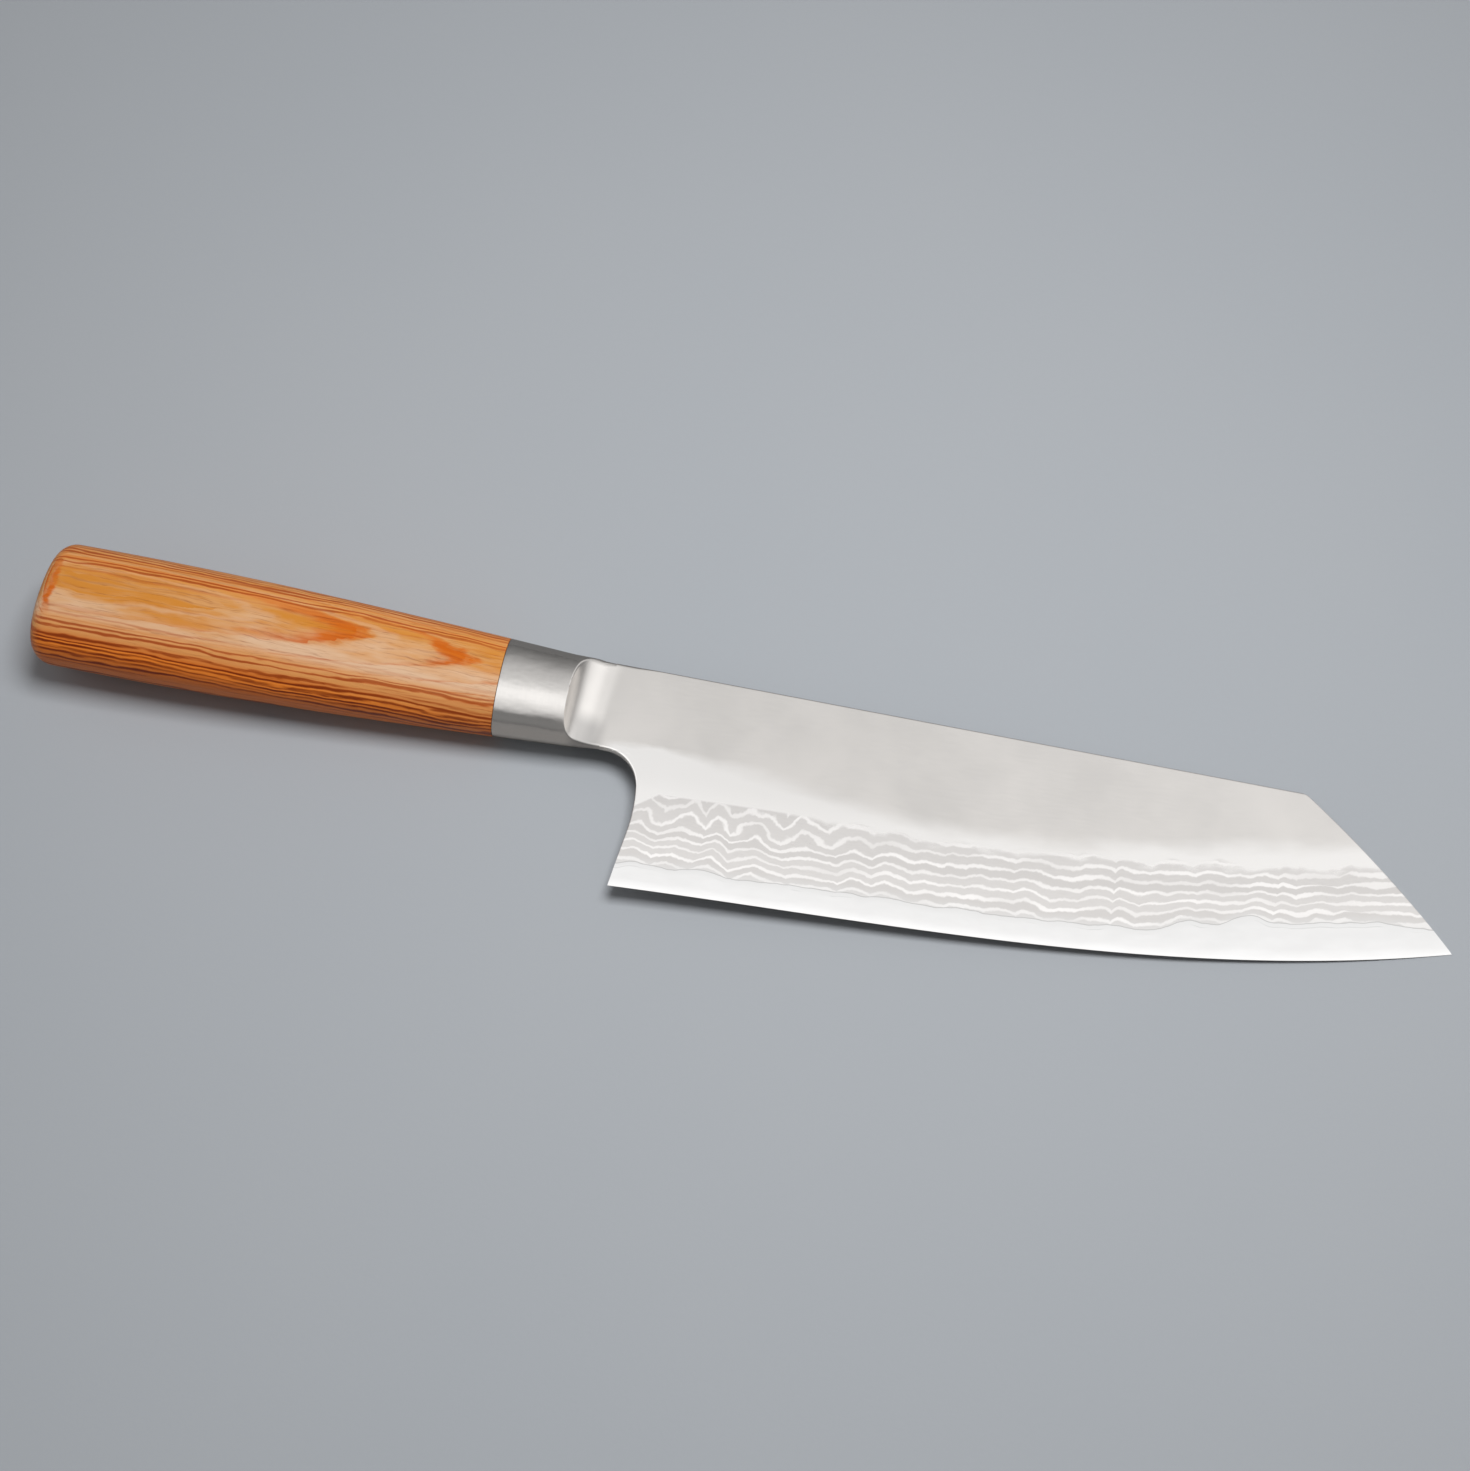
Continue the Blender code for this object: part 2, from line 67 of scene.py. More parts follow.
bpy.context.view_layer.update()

# %% [markdown]
# ## Where the knife lies
# A knife is easiest to draw in its own frame: X along the handle to the tip with zero at the seam
# between wood and bolster, Y up to the spine, Z through the thickness. It could be drawn lying down
# at once, but then every number would carry the slope. So each mesh is made upright and laid down last.

# %% The way from the knife's own frame to the table
LIE_ROLL = math.radians(1.792)
LIE_PITCH = math.radians(2.18139)
LIE_PLACE = Vector((-54.1928, 12.6406, 8.7209)) * MM
TURNED = Matrix.Rotation(LIE_PITCH, 4, "Y") @ Matrix.Rotation(LIE_ROLL, 4, "X")
LAID = Matrix.Translation(LIE_PLACE) @ TURNED
UPRIGHT = LAID.inverted()
SHARP_ANGLE = math.radians(40)
print("the seam between wood and bolster lies at", [round(v / MM, 2) for v in LAID.translation], "mm")


def sort_faces(bm):
    """Orders the faces by their corners. Extruding gives them a different order in each run."""
    bm.verts.index_update()
    for i, face in enumerate(sorted(bm.faces, key=lambda face: sorted(v.index for v in face.verts))):
        face.index = i
    bm.faces.sort()


def finish_mesh(name, bm):
    """Lays a drawn mesh down and makes it an object of the scene, shaded smooth between sharp edges."""
    bmesh.ops.recalc_face_normals(bm, faces=bm.faces[:])
    sort_faces(bm)
    bm.transform(LAID)
    data = bpy.data.meshes.new(name)
    bm.to_mesh(data)
    bm.free()
    data.shade_smooth()
    data.set_sharp_from_angle(angle=SHARP_ANGLE)
    piece = bpy.data.objects.new(name, data)
    scene.collection.objects.link(piece)
    print(name, len(data.polygons), "faces")
    return piece


def new_verts(grown):
    return [part for part in grown if isinstance(part, bmesh.types.BMVert)]


def smooth_step(low, high, value):
    share = min(max((value - low) / (high - low), 0.0), 1.0)
    return share * share * (3 - 2 * share)


def between(first, last, share):
    return first + (last - first) * share


def smooth_min(a, b, reach):
    """The smaller of two heights, with the corner between them rounded over reach."""
    near = max(reach - abs(a - b), 0.0) / reach
    return min(a, b) - near * near * reach / 4


# %% [markdown]
# ## Camera
# The knife is seen from its cutting edge's side, well above the table. The lens follows from how much
# the handle's end and the point shrink with distance, and the place from where both fall in the frame.

# %% Camera
CAMERA_PLACE = (0.03034, -0.16324, 0.49603)
CAMERA_TILT = math.radians(20.0)
CAMERA_TURN = math.radians(10.64)
LENS = 58.73
lens = bpy.data.cameras.new("camera")
lens.lens = LENS
lens.sensor_width = 36.0
camera = bpy.data.objects.new("camera", lens)
camera.location = CAMERA_PLACE
camera.rotation_euler = (CAMERA_TILT, 0.0, CAMERA_TURN)
scene.collection.objects.link(camera)
scene.camera = camera
print("camera", CAMERA_PLACE, "lens", LENS)

# %% [markdown]
# ## Shader sums
# A finish is easier to read as sums than as a web of nodes. Value wraps a socket, so that
# 1 - mask adds a Math node by itself, and Graph.node makes any other node in one line.


# %% Shader sums
class Value:
    """A socket whose number, colour or vector varies over the surface."""

    def __init__(self, graph, socket):
        self.graph = graph
        self.socket = socket

    def sum(self, operation, *terms):
        return self.graph.node("ShaderNodeMath", {"operation": operation}, dict(enumerate(terms)))

    def __add__(self, other):
        return self.sum("ADD", self, other)

    def __radd__(self, other):
        return self.sum("ADD", other, self)

    def __sub__(self, other):
        return self.sum("SUBTRACT", self, other)

    def __rsub__(self, other):
        return self.sum("SUBTRACT", other, self)

    def __mul__(self, other):
        return self.sum("MULTIPLY", self, other)

    def __truediv__(self, other):
        return self.sum("DIVIDE", self, other)

    def __abs__(self):
        return self.sum("ABSOLUTE", self)

    def __mod__(self, other):
        return self.sum("FLOORED_MODULO", self, other)

    def floor(self):
        return self.sum("FLOOR", self)

    def ramp(self, low, high):
        """0 below low, 1 above high, smooth between; turned round where low is more than high."""
        if low < high:
            return self.graph.node(
                "ShaderNodeMapRange", {"interpolation_type": "SMOOTHSTEP"},
                {"Value": self, "From Min": low, "From Max": high},
            )
        return 1 - self.ramp(high, low)


class Graph:
    """The nodes of one finish, or of the world."""

    def __init__(self, tree):
        self.tree = tree

    def node(self, kind, settings=None, inputs=None, output=0):
        made = self.tree.nodes.new(kind)
        for key, value in (settings or {}).items():
            if key == "stops":
                self.set_stops(made.color_ramp, value)
            else:
                setattr(made, key, value)
        for key, value in (inputs or {}).items():
            self.feed(made.inputs[key], value)
        return Value(self, made.outputs[output])

    def feed(self, socket, value):
        if isinstance(value, Value):
            self.tree.links.new(value.socket, socket)
        else:
            socket.default_value = value

    @staticmethod
    def set_stops(ramp, stops):
        while len(ramp.elements) < len(stops):
            ramp.elements.new(1.0)
        for element, (place, colour) in zip(ramp.elements, stops):
            element.position = place
            element.color = (*colour, 1.0)

    def parts(self, vector):
        """The three numbers of a vector."""
        split = self.node("ShaderNodeSeparateXYZ", {}, {0: vector})
        return [Value(self, socket) for socket in split.socket.node.outputs]

    def vector(self, x, y, z):
        return self.node("ShaderNodeCombineXYZ", {}, {0: x, 1: y, 2: z})

    def noise(self, vector, scale=1.0, detail=2.0, roughness=0.5):
        """Noise about 0, mostly within a quarter to either side."""
        return self.node(
            "ShaderNodeTexNoise", {},
            {"Vector": vector, "Scale": scale, "Detail": detail, "Roughness": roughness},
        ) - 0.5

    def mix(self, share, first, second):
        """A colour that goes from first to second as share goes from 0 to 1."""
        first, second = (c if isinstance(c, Value) else (*c, 1.0) for c in (first, second))
        return self.node("ShaderNodeMix", {"data_type": "RGBA"}, {0: share, 6: first, 7: second}, 2)

    def white_noise(self, number):
        """A random share that is the same wherever number is the same."""
        return self.node("ShaderNodeTexWhiteNoise", {"noise_dimensions": "1D"}, {"W": number})

    def ground_place(self):
        """Millimetres along the knife, over the edge and over the welded line, kept with the mesh."""
        return self.parts(self.node("ShaderNodeAttribute", {"attribute_name": "ground"}, {}, "Vector"))

    def knife_place(self):
        """The knife's own frame in millimetres, from the Object coordinates."""
        place = self.node("ShaderNodeTexCoord", {}, {}, "Object")
        turn = UPRIGHT.to_euler("XYZ")
        shift = UPRIGHT.translation / MM
        large = self.node("ShaderNodeVectorMath", {"operation": "SCALE"}, {0: place, "Scale": 1 / MM})
        return self.node("ShaderNodeMapping", {}, {"Vector": large, "Location": shift, "Rotation": turn})


def new_finish(name, metallic=0.0):
    """A material and its graph, ready for its Principled shader's inputs."""
    material = bpy.data.materials.new(name)
    material.use_nodes = True
    graph = Graph(material.node_tree)
    graph.shader = material.node_tree.nodes["Principled BSDF"]
    graph.shader.inputs["Metallic"].default_value = metallic
    graph.material = material
    return graph


def set_finish(graph, **inputs):
    for key, value in inputs.items():
        graph.feed(graph.shader.inputs[key.replace("_", " ")], value)
    print("finish", graph.material.name, len(graph.tree.nodes), "nodes")
    return graph.material


def bump(graph, height, distance_mm):
    """Small relief: height from 0 to 1 stands for that many millimetres."""
    inputs = {"Strength": 1.0, "Distance": distance_mm * MM, "Height": height}
    return graph.node("ShaderNodeBump", {}, inputs)


# %% [markdown]
# ## Table, world and lamp
# The table is a plain matt grey sheet, lit by one soft panel over the knife. Steel shows what stands
# round it, so the room matters as much as the lamp. Real studios put white cards round a blade. More
# lamps could stand in for them, but each would also light the wood, so the cards are painted on the
# world instead, as an arch of greys that only mirrored rays see, and the panel doesn't show in steel.

# %% Table
TABLE_SIZE = 4.0
SHEET_DARK, SHEET_FAIR = (0.385, 0.41, 0.44), (0.405, 0.425, 0.45)
# Seen in the steel, the table takes fixed darker greys instead of its lit grey: painted shade in its
# reflections, darker behind the knife than in front.
PAINTED_SHADE_IN_STEEL_NEAR, PAINTED_SHADE_IN_STEEL_FAR = (0.28, 0.275, 0.27), (0.17, 0.17, 0.17)
bm = bmesh.new()
bmesh.ops.create_grid(bm, x_segments=8, y_segments=8, size=TABLE_SIZE / 2)
data = bpy.data.meshes.new("table")
bm.to_mesh(data)
bm.free()
table = bpy.data.objects.new("table", data)
scene.collection.objects.link(table)
table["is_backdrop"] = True

matt = new_finish("matt_grey_sheet")
place = matt.node("ShaderNodeTexCoord", {}, {}, "Object")
cloudy = matt.noise(place, 9.0, 3.0)
speckle = matt.noise(place, 900.0, 2.0)
sheet_tone = (0.5 + cloudy * 0.5).ramp(0.2, 0.8)
behind = matt.parts(place)[1].ramp(-0.01, 0.03)
# Mirrored rays see the painted shade greys, and all other rays see the sheet's own grey.
in_steel = matt.node("ShaderNodeLightPath", {}, {}, "Is Glossy Ray")
sheet_grey = matt.mix(sheet_tone, SHEET_DARK, SHEET_FAIR)
table.data.materials.append(set_finish(
    matt,
    Base_Color=matt.mix(in_steel, sheet_grey, matt.mix(behind, PAINTED_SHADE_IN_STEEL_NEAR, PAINTED_SHADE_IN_STEEL_FAR)),
    Roughness=0.55 + speckle * 0.2,
    Normal=bump(matt, speckle, 0.02),
))

# %% World: what the steel sees
# Brightness of the room from the horizon behind, over the zenith, to the horizon in front, in degrees.
ROOM_ARCH = (
    (-90, 0.16), (-60, 0.31), (-45, 0.52), (-30, 0.72), (-18, 0.82), (-8, 1.12), (-1, 1.46), (10, 1.46),
    (24, 1.20), (40, 0.88), (48, 0.56), (55, 0.21), (64, 0.26), (78, 0.27), (90, 0.20),
)
ARCH_SCALE = 1.5
# In front, the room also rises, glows and falls off towards the right.
RIGHT_RISE, RIGHT_GLOW, RIGHT_FALL = 0.28, 0.46, 0.22
# What matt surfaces get from the whole room, and from low on the left.
FILL, LEFT_FILL = 0.12, 0.35
BACKDROP = (0.62, 0.64, 0.66)
world = bpy.data.worlds.new("room")
scene.world = world
world.use_nodes = True
room = Graph(world.node_tree)
way = room.node("ShaderNodeTexCoord", {}, {}, "Generated")
across, deep, high = room.parts(way)
front = room.node("ShaderNodeMath", {"operation": "ARCTAN2"}, {0: 0 - deep, 1: high}) * (180 / math.pi)
right = room.node("ShaderNodeMath", {"operation": "ARCTAN2"}, {0: across, 1: high}) * (180 / math.pi)
arch = room.node(
    "ShaderNodeValToRGB",
    {"stops": [((angle + 90) / 180, (level / ARCH_SCALE,) * 3) for angle, level in ROOM_ARCH]},
    {"Fac": (front + 90) / 180},
)
rise, bright, fall = right.ramp(-6.0, 24.0), right.ramp(34.0, 58.0), right.ramp(64.0, 86.0)
glow = (rise * RIGHT_RISE + bright * RIGHT_GLOW - fall * RIGHT_FALL) * front.ramp(-4.0, -15.0)
level = room.node("ShaderNodeRGBToBW", {}, {0: arch}) * ARCH_SCALE + glow
seen = room.node("ShaderNodeLightPath", {}, {}, "Is Camera Ray")
mirrored = room.node("ShaderNodeLightPath", {}, {}, "Is Glossy Ray")
fill = FILL + across.ramp(-0.3, -0.9) * LEFT_FILL
level = mirrored * level + (1 - mirrored) * fill
grey = room.node("ShaderNodeCombineColor", {}, {0: level, 1: level, 2: level})
tone = room.mix(seen, grey, BACKDROP)
room.feed(world.node_tree.nodes["Background"].inputs["Color"], tone)
print("room", len(ROOM_ARCH), "levels, brightest", max(level for _, level in ROOM_ARCH))


# %% Lamp
def soft_panel(name, place, aim, width, depth, radiance):
    """A soft lamp that faces aim. The same radiance looks equally bright at any size."""
    lamp = bpy.data.lights.new(name, "AREA")
    lamp.shape = "RECTANGLE"
    lamp.size, lamp.size_y = width, depth
    lamp.energy = radiance * math.pi * width * depth
    made = bpy.data.objects.new(name, lamp)
    made.location = place
    made.rotation_euler = (Vector(place) - Vector(aim)).to_track_quat("Z", "Y").to_euler()
    made.visible_glossy = False
    scene.collection.objects.link(made)
    print(name, "power", round(lamp.energy, 2))


soft_panel(
    "top_panel", place=(0.05, 0.09, 0.54), aim=(0.03, -0.10, 0.0), width=0.24, depth=0.20, radiance=18.7,
)

# %% [markdown]
# ## Blade
# The real blade is three sheets of steel, forge welded: a hard core between two layered sides. Grinding
# the bevel lays the core bare along the edge, where it meets the side in a wavy line. A picture of that
# line on one plain surface would do for one view. Here the three sheets are pieces of their own, and
# their meshes meet along the line. Each starts as a grid: its rows follow the cutting edge, then the
# spine, and its columns run from the finger curve to the angled point.

# %% Blade sizes, in millimetres
EDGE_LENGTH, HEEL_TO_BOLSTER, SPINE_HEIGHT, HEEL_HEIGHT, TIP_DROP = 179.2, 7.9, 10.1, 49.1, 29.2
POINT_LENGTH, POINT_BULGE, CORNER_RADIUS = 34.7, 0.95, 3.0
EDGE_SLOPE_HEEL, EDGE_SLOPE_TIP = 0.06, 0.29
CHOIL_RADIUS, CHOIL_BOW_RADIUS, CHOIL_TURN, HEEL_LEAN = 8.2, 35.0, 8.0, 7.5
SPINE_THICKNESS, SPINE_TIP_THICKNESS, BEVEL_TOP_THICKNESS = 2.3, 1.5, 2.05
BEVEL_HEIGHT, BEVEL_BULGE, RIDGE_REACH = 20.5, 0.05, 0.16
MICRO_HEIGHT, MICRO_THICKNESS, EDGE_THICKNESS = 0.7, 0.30, 0.06
BOLSTER_LENGTH, BOLSTER_FRONT_HEIGHT, BOLSTER_FRONT_THICKNESS = 23.4, 19.2, 15.4
HEEL_X = BOLSTER_LENGTH + HEEL_TO_BOLSTER
TIP_X = HEEL_X + EDGE_LENGTH
HEEL_Y = SPINE_HEIGHT - HEEL_HEIGHT
TIP_Y = SPINE_HEIGHT - TIP_DROP
CHIN_Y = -BOLSTER_FRONT_HEIGHT / 2
SPINE_TAPER = (SPINE_THICKNESS - SPINE_TIP_THICKNESS) / (TIP_X - BOLSTER_LENGTH)
FLAT_TAPER = (SPINE_THICKNESS - BEVEL_TOP_THICKNESS) / (HEEL_HEIGHT - BEVEL_HEIGHT)
print("blade", round(TIP_X - BOLSTER_LENGTH, 1), "mm from bolster to tip, edge", EDGE_LENGTH, "mm")


# %% The blade's outline
def arc(centre, radius, start, end, steps):
    turns = [math.radians(start + (end - start) * i / steps) for i in range(steps + 1)]
    return [Vector((centre[0] + radius * math.cos(a), centre[1] + radius * math.sin(a))) for a in turns]


def choil_line():
    """From the bolster round the finger curve and down past the heel."""
    chin = arc((0.0, CHIN_Y - CHOIL_RADIUS), CHOIL_RADIUS, 90, CHOIL_TURN, 40)
    turn = math.radians(CHOIL_TURN)
    centre = chin[-1] - CHOIL_BOW_RADIUS * Vector((math.cos(turn), math.sin(turn)))
    bow = arc(centre, CHOIL_BOW_RADIUS, CHOIL_TURN, -HEEL_LEAN, 10)
    lean = math.tan(math.radians(HEEL_LEAN))
    last = bow[-1]
    shift = Vector((HEEL_X - (last.x - (last.y - HEEL_Y) * lean), 0.0))
    foot = Vector((last.x - (last.y - HEEL_Y + 1.0) * lean, HEEL_Y - 1.0))
    return [Vector((BOLSTER_LENGTH, CHIN_Y))] + [p + shift for p in (*chin, *bow[1:], foot)]


def point_line():
    """From the tip up the bowed point and round the corner to the spine."""
    steep = math.atan2(TIP_DROP, POINT_LENGTH)
    turn_x = TIP_X - POINT_LENGTH - CORNER_RADIUS * math.tan(steep / 2)
    turn = arc((turn_x, SPINE_HEIGHT - CORNER_RADIUS), CORNER_RADIUS, 90 - math.degrees(steep), 90, 12)
    start, end = Vector((TIP_X, TIP_Y)), turn[0]
    out = Vector((end.y - start.y, start.x - end.x)).normalized()
    bowed = [start.lerp(end, i / 24) + out * 4 * POINT_BULGE * i / 24 * (1 - i / 24) for i in range(25)]
    return bowed + turn[1:]


def edge_y(x):
    """Height of the cutting edge: a cubic between the heel's and the tip's place and slope."""
    t = max(x - HEEL_X, 0) / EDGE_LENGTH
    return (
        (2 * t**3 - 3 * t**2 + 1) * HEEL_Y
        + (t**3 - 2 * t**2 + t) * EDGE_LENGTH * EDGE_SLOPE_HEEL
        + (3 * t**2 - 2 * t**3) * TIP_Y
        + (t**3 - t**2) * EDGE_LENGTH * EDGE_SLOPE_TIP
    )


CHOIL, POINT = choil_line(), point_line()


def x_on(line, y):
    """Where a line that only falls or only rises passes a height."""
    for a, b in zip(line, line[1:]):
        if min(a.y, b.y) <= y <= max(a.y, b.y) and a.y != b.y:
            return a.x + (b.x - a.x) * (y - a.y) / (b.y - a.y)
    return line[-1].x


def to_line(line, x, y):
    """Distance from a spot to a line."""
    spot = Vector((x, y))
    best = 1e9
    for a, b in zip(line, line[1:]):
        along = b - a
        share = min(max((spot - a).dot(along) / max(along.length_squared, 1e-12), 0.0), 1.0)
        best = min(best, (spot - a - along * share).length)
    return best


print("tip at", TIP_X, TIP_Y, "choil starts at", round(CHOIL[1].x, 2))


# %% [markdown]
# The ground side is the lower of two surfaces, the flat under the spine and the bevel over the edge, and
# a stone leaves no crease between them but a soft ridge. The welded line rises and falls by a few tenths
# to a millimetre, as hammering left it, and climbs where the point's sweep cuts deeper into the core.

# %% Thickness and the welded line
CORE_LINE_HEIGHT = 5.3
CORE_LINE_CLIMB, CLIMB_RISES, CLIMB_FALLS = 2.7, (146, 156), (209, 192)
HUMP_X, HUMP_REACH, HUMP_HEIGHT, HUMP_TROUGH = 166.5, 6.5, 1.6, 0.3
# The line's waves: how many in a millimetre, where the noise is read, and their height.
WELD_WAVES = ((0.09, 3.1, 0.9), (0.24, 7.7, 0.55), (0.8, 1.3, 0.12))
# The wheel's hollow: its crest on the bolster, its end on the blade, and how that end leans and bends.
CREST_X, COVE_END, COVE_SLANT, COVE_TWIST, COVE_REACH = 14.6, 24.1, 0.13, 0.01, 27
NOT_GROUND = 99.0


def flat_half(x, y):
    return (SPINE_THICKNESS - SPINE_TAPER * (x - BOLSTER_LENGTH) - FLAT_TAPER * (SPINE_HEIGHT - y)) / 2


def cove_rise(x, y):
    """How far the wheel's hollow still stands over the blade's flat, or far above it past the crest."""
    end = COVE_END + COVE_SLANT * y - COVE_TWIST * min(y, 0.0) ** 2
    off, radius = end - x, end - CREST_X
    if off >= radius:
        return NOT_GROUND
    return radius - math.sqrt(radius**2 - off**2) if off > 0 else 0.0


def side_half(x, y):
    """Half thickness of the ground blade."""
    above = y - edge_y(x)
    micro = MICRO_THICKNESS / 2
    if above <= MICRO_HEIGHT:
        return EDGE_THICKNESS / 2 + (micro - EDGE_THICKNESS / 2) * max(above, 0) / MICRO_HEIGHT
    flat = flat_half(x, y) + (cove_rise(x, y) if x < COVE_REACH and y > CHIN_Y - 0.5 else 0.0)
    top = flat_half(x, edge_y(x) + BEVEL_HEIGHT)
    t = (above - MICRO_HEIGHT) / (BEVEL_HEIGHT - MICRO_HEIGHT)
    bevel = micro + (top - micro) * t + 4 * BEVEL_BULGE * t * (1 - min(t, 1.0))
    return smooth_min(flat, bevel, RIDGE_REACH)


def core_line(x):
    """Height above the edge at which the core meets the layered side."""
    climb = CORE_LINE_CLIMB * smooth_step(*CLIMB_RISES, x) * smooth_step(*CLIMB_FALLS, x)
    hump = smooth_step(HUMP_REACH, 0.0, abs(x - HUMP_X))
    trough = smooth_step(HUMP_REACH, 0.0, abs(x - HUMP_X + HUMP_REACH))
    climb += HUMP_HEIGHT * (hump - HUMP_TROUGH * trough)
    height = CORE_LINE_HEIGHT + climb
    for pace, seed, rise in WELD_WAVES:
        height += rise * noise.noise(Vector((x * pace, seed, 0.0)))
    return height


print("core shows", [round(core_line(x), 1) for x in (40, 80, 120, 160, 200)], "mm over the edge")


# %% [markdown]
# The three sheets share one grid, so that they meet without a gap. Rows lie close together where the
# spine and the finger curve are rounded over, and columns lie close together at both ends of a row.

# %% Rows of the grid
CORE_SHARES = (0.25, 0.5, 0.75)
BEVEL_SHARES = [i / 16 for i in range(1, 17)]
# Heights of the rows above the bevel, as they lie at the heel.
FLAT_ROWS = (
    -17.6, -16.6, -15.5, -14.4, -13.4, -12.6, -11.9, -11.3, -10.9, -10.6, -10.3, -10.1, -9.9, -9.75, -9.65,
    -9.6, -9.5, -9.35, -9.2, -9.0, -8.8, -8.5, -8.1, -7.6, -7.0, -6.0, -4.5, -3.0, -1.5, 0.0, 1.5, 3.0,
    4.5, 6.0, 7.2, 8.2, 8.9, 9.3, 9.5, 9.65, 9.78, 9.88, 9.96, 10.02, 10.07, 10.1,
)
FLAT_START = HEEL_Y + BEVEL_HEIGHT


def row_y(kind, share, x):
    """Height of a grid row at x. Rows are kept by what they follow."""
    edge = edge_y(x)
    if kind == "edge":
        return edge + share
    line = edge + core_line(x)
    if kind == "core":
        return edge + MICRO_HEIGHT + (line - edge - MICRO_HEIGHT) * share
    if kind == "bevel":
        return line + (edge + BEVEL_HEIGHT - line) * share
    return edge + BEVEL_HEIGHT + (SPINE_HEIGHT - edge - BEVEL_HEIGHT) * share


CORE_ROWS = [("edge", 0.0), ("edge", MICRO_HEIGHT / 2), ("edge", MICRO_HEIGHT)]
CORE_ROWS += [("core", share) for share in CORE_SHARES]
SIDE_ROWS = [("bevel", 0.0)] + [("bevel", share) for share in BEVEL_SHARES]
SIDE_ROWS += [("flat", (y - FLAT_START) / (SPINE_HEIGHT - FLAT_START)) for y in FLAT_ROWS]
print("core", len(CORE_ROWS + SIDE_ROWS), "rows, sides", len(SIDE_ROWS), "rows")

# %% Columns of the grid
# How far the first columns lie from a row's end. At the point they lie further apart.
COLUMN_ENDS, POINT_STRETCH = (0.0, 0.02, 0.06, 0.12, 0.2, 0.3, 0.42, 0.6, 0.85), 1.5
MIDDLE_COLUMNS, SEARCH_STEPS = 360, 12


def row_end(row, line, guess):
    """Where a row leaves the outline, found by stepping back and forth between the two."""
    x, lowest = guess, min(line[0].y, line[-1].y)
    for _ in range(SEARCH_STEPS):
        x = x_on(line, min(max(row_y(*row, x), lowest), SPINE_HEIGHT))
    return x


def row_span(row):
    """Where a row starts and ends. The lowest one is the cutting edge, from heel to tip."""
    if row == CORE_ROWS[0]:
        return HEEL_X, TIP_X
    at_bolster = row_y(*row, HEEL_X) >= CHIN_Y - 1e-6
    left = BOLSTER_LENGTH if at_bolster else row_end(row, CHOIL, HEEL_X)
    return left, row_end(row, POINT, TIP_X - 10)


def column_xs(left, right):
    """Places along a row: close together at both ends, evenly between."""
    start, stop = left + COLUMN_ENDS[-1], right - COLUMN_ENDS[-1] * POINT_STRETCH
    middle = [start + (stop - start) * i / MIDDLE_COLUMNS for i in range(1, MIDDLE_COLUMNS)]
    last = [right - d * POINT_STRETCH for d in reversed(COLUMN_ENDS)]
    return [left + d for d in COLUMN_ENDS] + middle + last


print("edge row from", [round(x, 2) for x in row_span(CORE_ROWS[0])], "mm")

# %% Rounded edges and the sheets themselves
EASED_SPINE, EASED_CHIN = 0.28, 0.8
EASED_POINT = EASED_SPINE * 0.7
CHOIL_REGION, POINT_REGION, FAR_OFF = 36, 170, 9.0
# A rounding takes at most this share of the wall, and the finger curve's grows over these millimetres.
EASED_SHARE, CHIN_STARTS, CHIN_FULL = 0.8, 34, 24
MERGE_REACH = 0.0005


def eased(x, y, full, least):
    """Half thickness with the edges of spine, point and finger curve rounded over."""
    chin = between(EASED_SPINE, EASED_CHIN, smooth_step(CHIN_STARTS, CHIN_FULL, x))
    depth = full
    for gap, reach in (
        (SPINE_HEIGHT - y, chin), (to_line(CHOIL, x, y) if x < CHOIL_REGION else FAR_OFF, chin),
        (to_line(POINT, x, y) if x > POINT_REGION else FAR_OFF, EASED_POINT),
    ):
        reach = min(reach, EASED_SHARE * (full - least))
        if gap < reach:
            depth = min(depth, full - reach + math.sqrt(max(reach**2 - (reach - gap) ** 2, 0.0)))
    return depth


def sheet(name, rows, outer, inner):
    """A closed sheet over some of the rows. outer and inner give its two faces' heights."""
    spans = [column_xs(*row_span(row)) for row in rows]
    columns = len(spans[0])
    bm = bmesh.new()
    ground = bm.verts.layers.float_vector.new("ground")
    bmesh.ops.create_grid(bm, x_segments=columns - 1, y_segments=len(rows) - 1, size=0.5)
    for vert in bm.verts:
        row = round((vert.co.y + 0.5) * (len(rows) - 1))
        column = round((vert.co.x + 0.5) * (columns - 1))
        x = spans[row][column]
        y = row_y(*rows[row], x)
        above = y - edge_y(x)
        vert[ground] = (x, above, above - core_line(x))
        vert.co = (x, y, outer(x, y))
    grown = bmesh.ops.extrude_face_region(bm, geom=bm.faces[:])["geom"]
    for vert in new_verts(grown):
        vert.co.z = inner(vert.co.x, vert.co.y)
    bmesh.ops.scale(bm, vec=(MM, MM, MM), verts=bm.verts[:])
    bmesh.ops.remove_doubles(bm, verts=bm.verts[:], dist=MERGE_REACH * MM)
    return finish_mesh(name, bm)


def weld_half(x, y):
    """Half thickness of the core sheet, which is what the ground side has at the welded line."""
    return side_half(x, edge_y(x) + core_line(x))


def core_half(x, y):
    return min(side_half(x, y), weld_half(x, y))


def clad_half(x, y):
    return max(eased(x, y, side_half(x, y), weld_half(x, y)), weld_half(x, y))


# %% The three sheets
core = sheet("core", CORE_ROWS + SIDE_ROWS, core_half, lambda x, y: -core_half(x, y))
clad_right = sheet("damascus_side_right", SIDE_ROWS, clad_half, weld_half)
clad_left = sheet(
    "damascus_side_left", SIDE_ROWS, lambda x, y: -clad_half(x, y), lambda x, y: -weld_half(x, y),
)

# %% [markdown]
# ## Bolster
# A bolster is forged thick and oval like the handle, and a wheel then grinds a hollow into each side,
# down to the blade. A cylinder cut by a boolean would leave a hard, ragged crest. So the oval's rings
# are pressed down to the hollow's height, with a small rounding where the two meet.

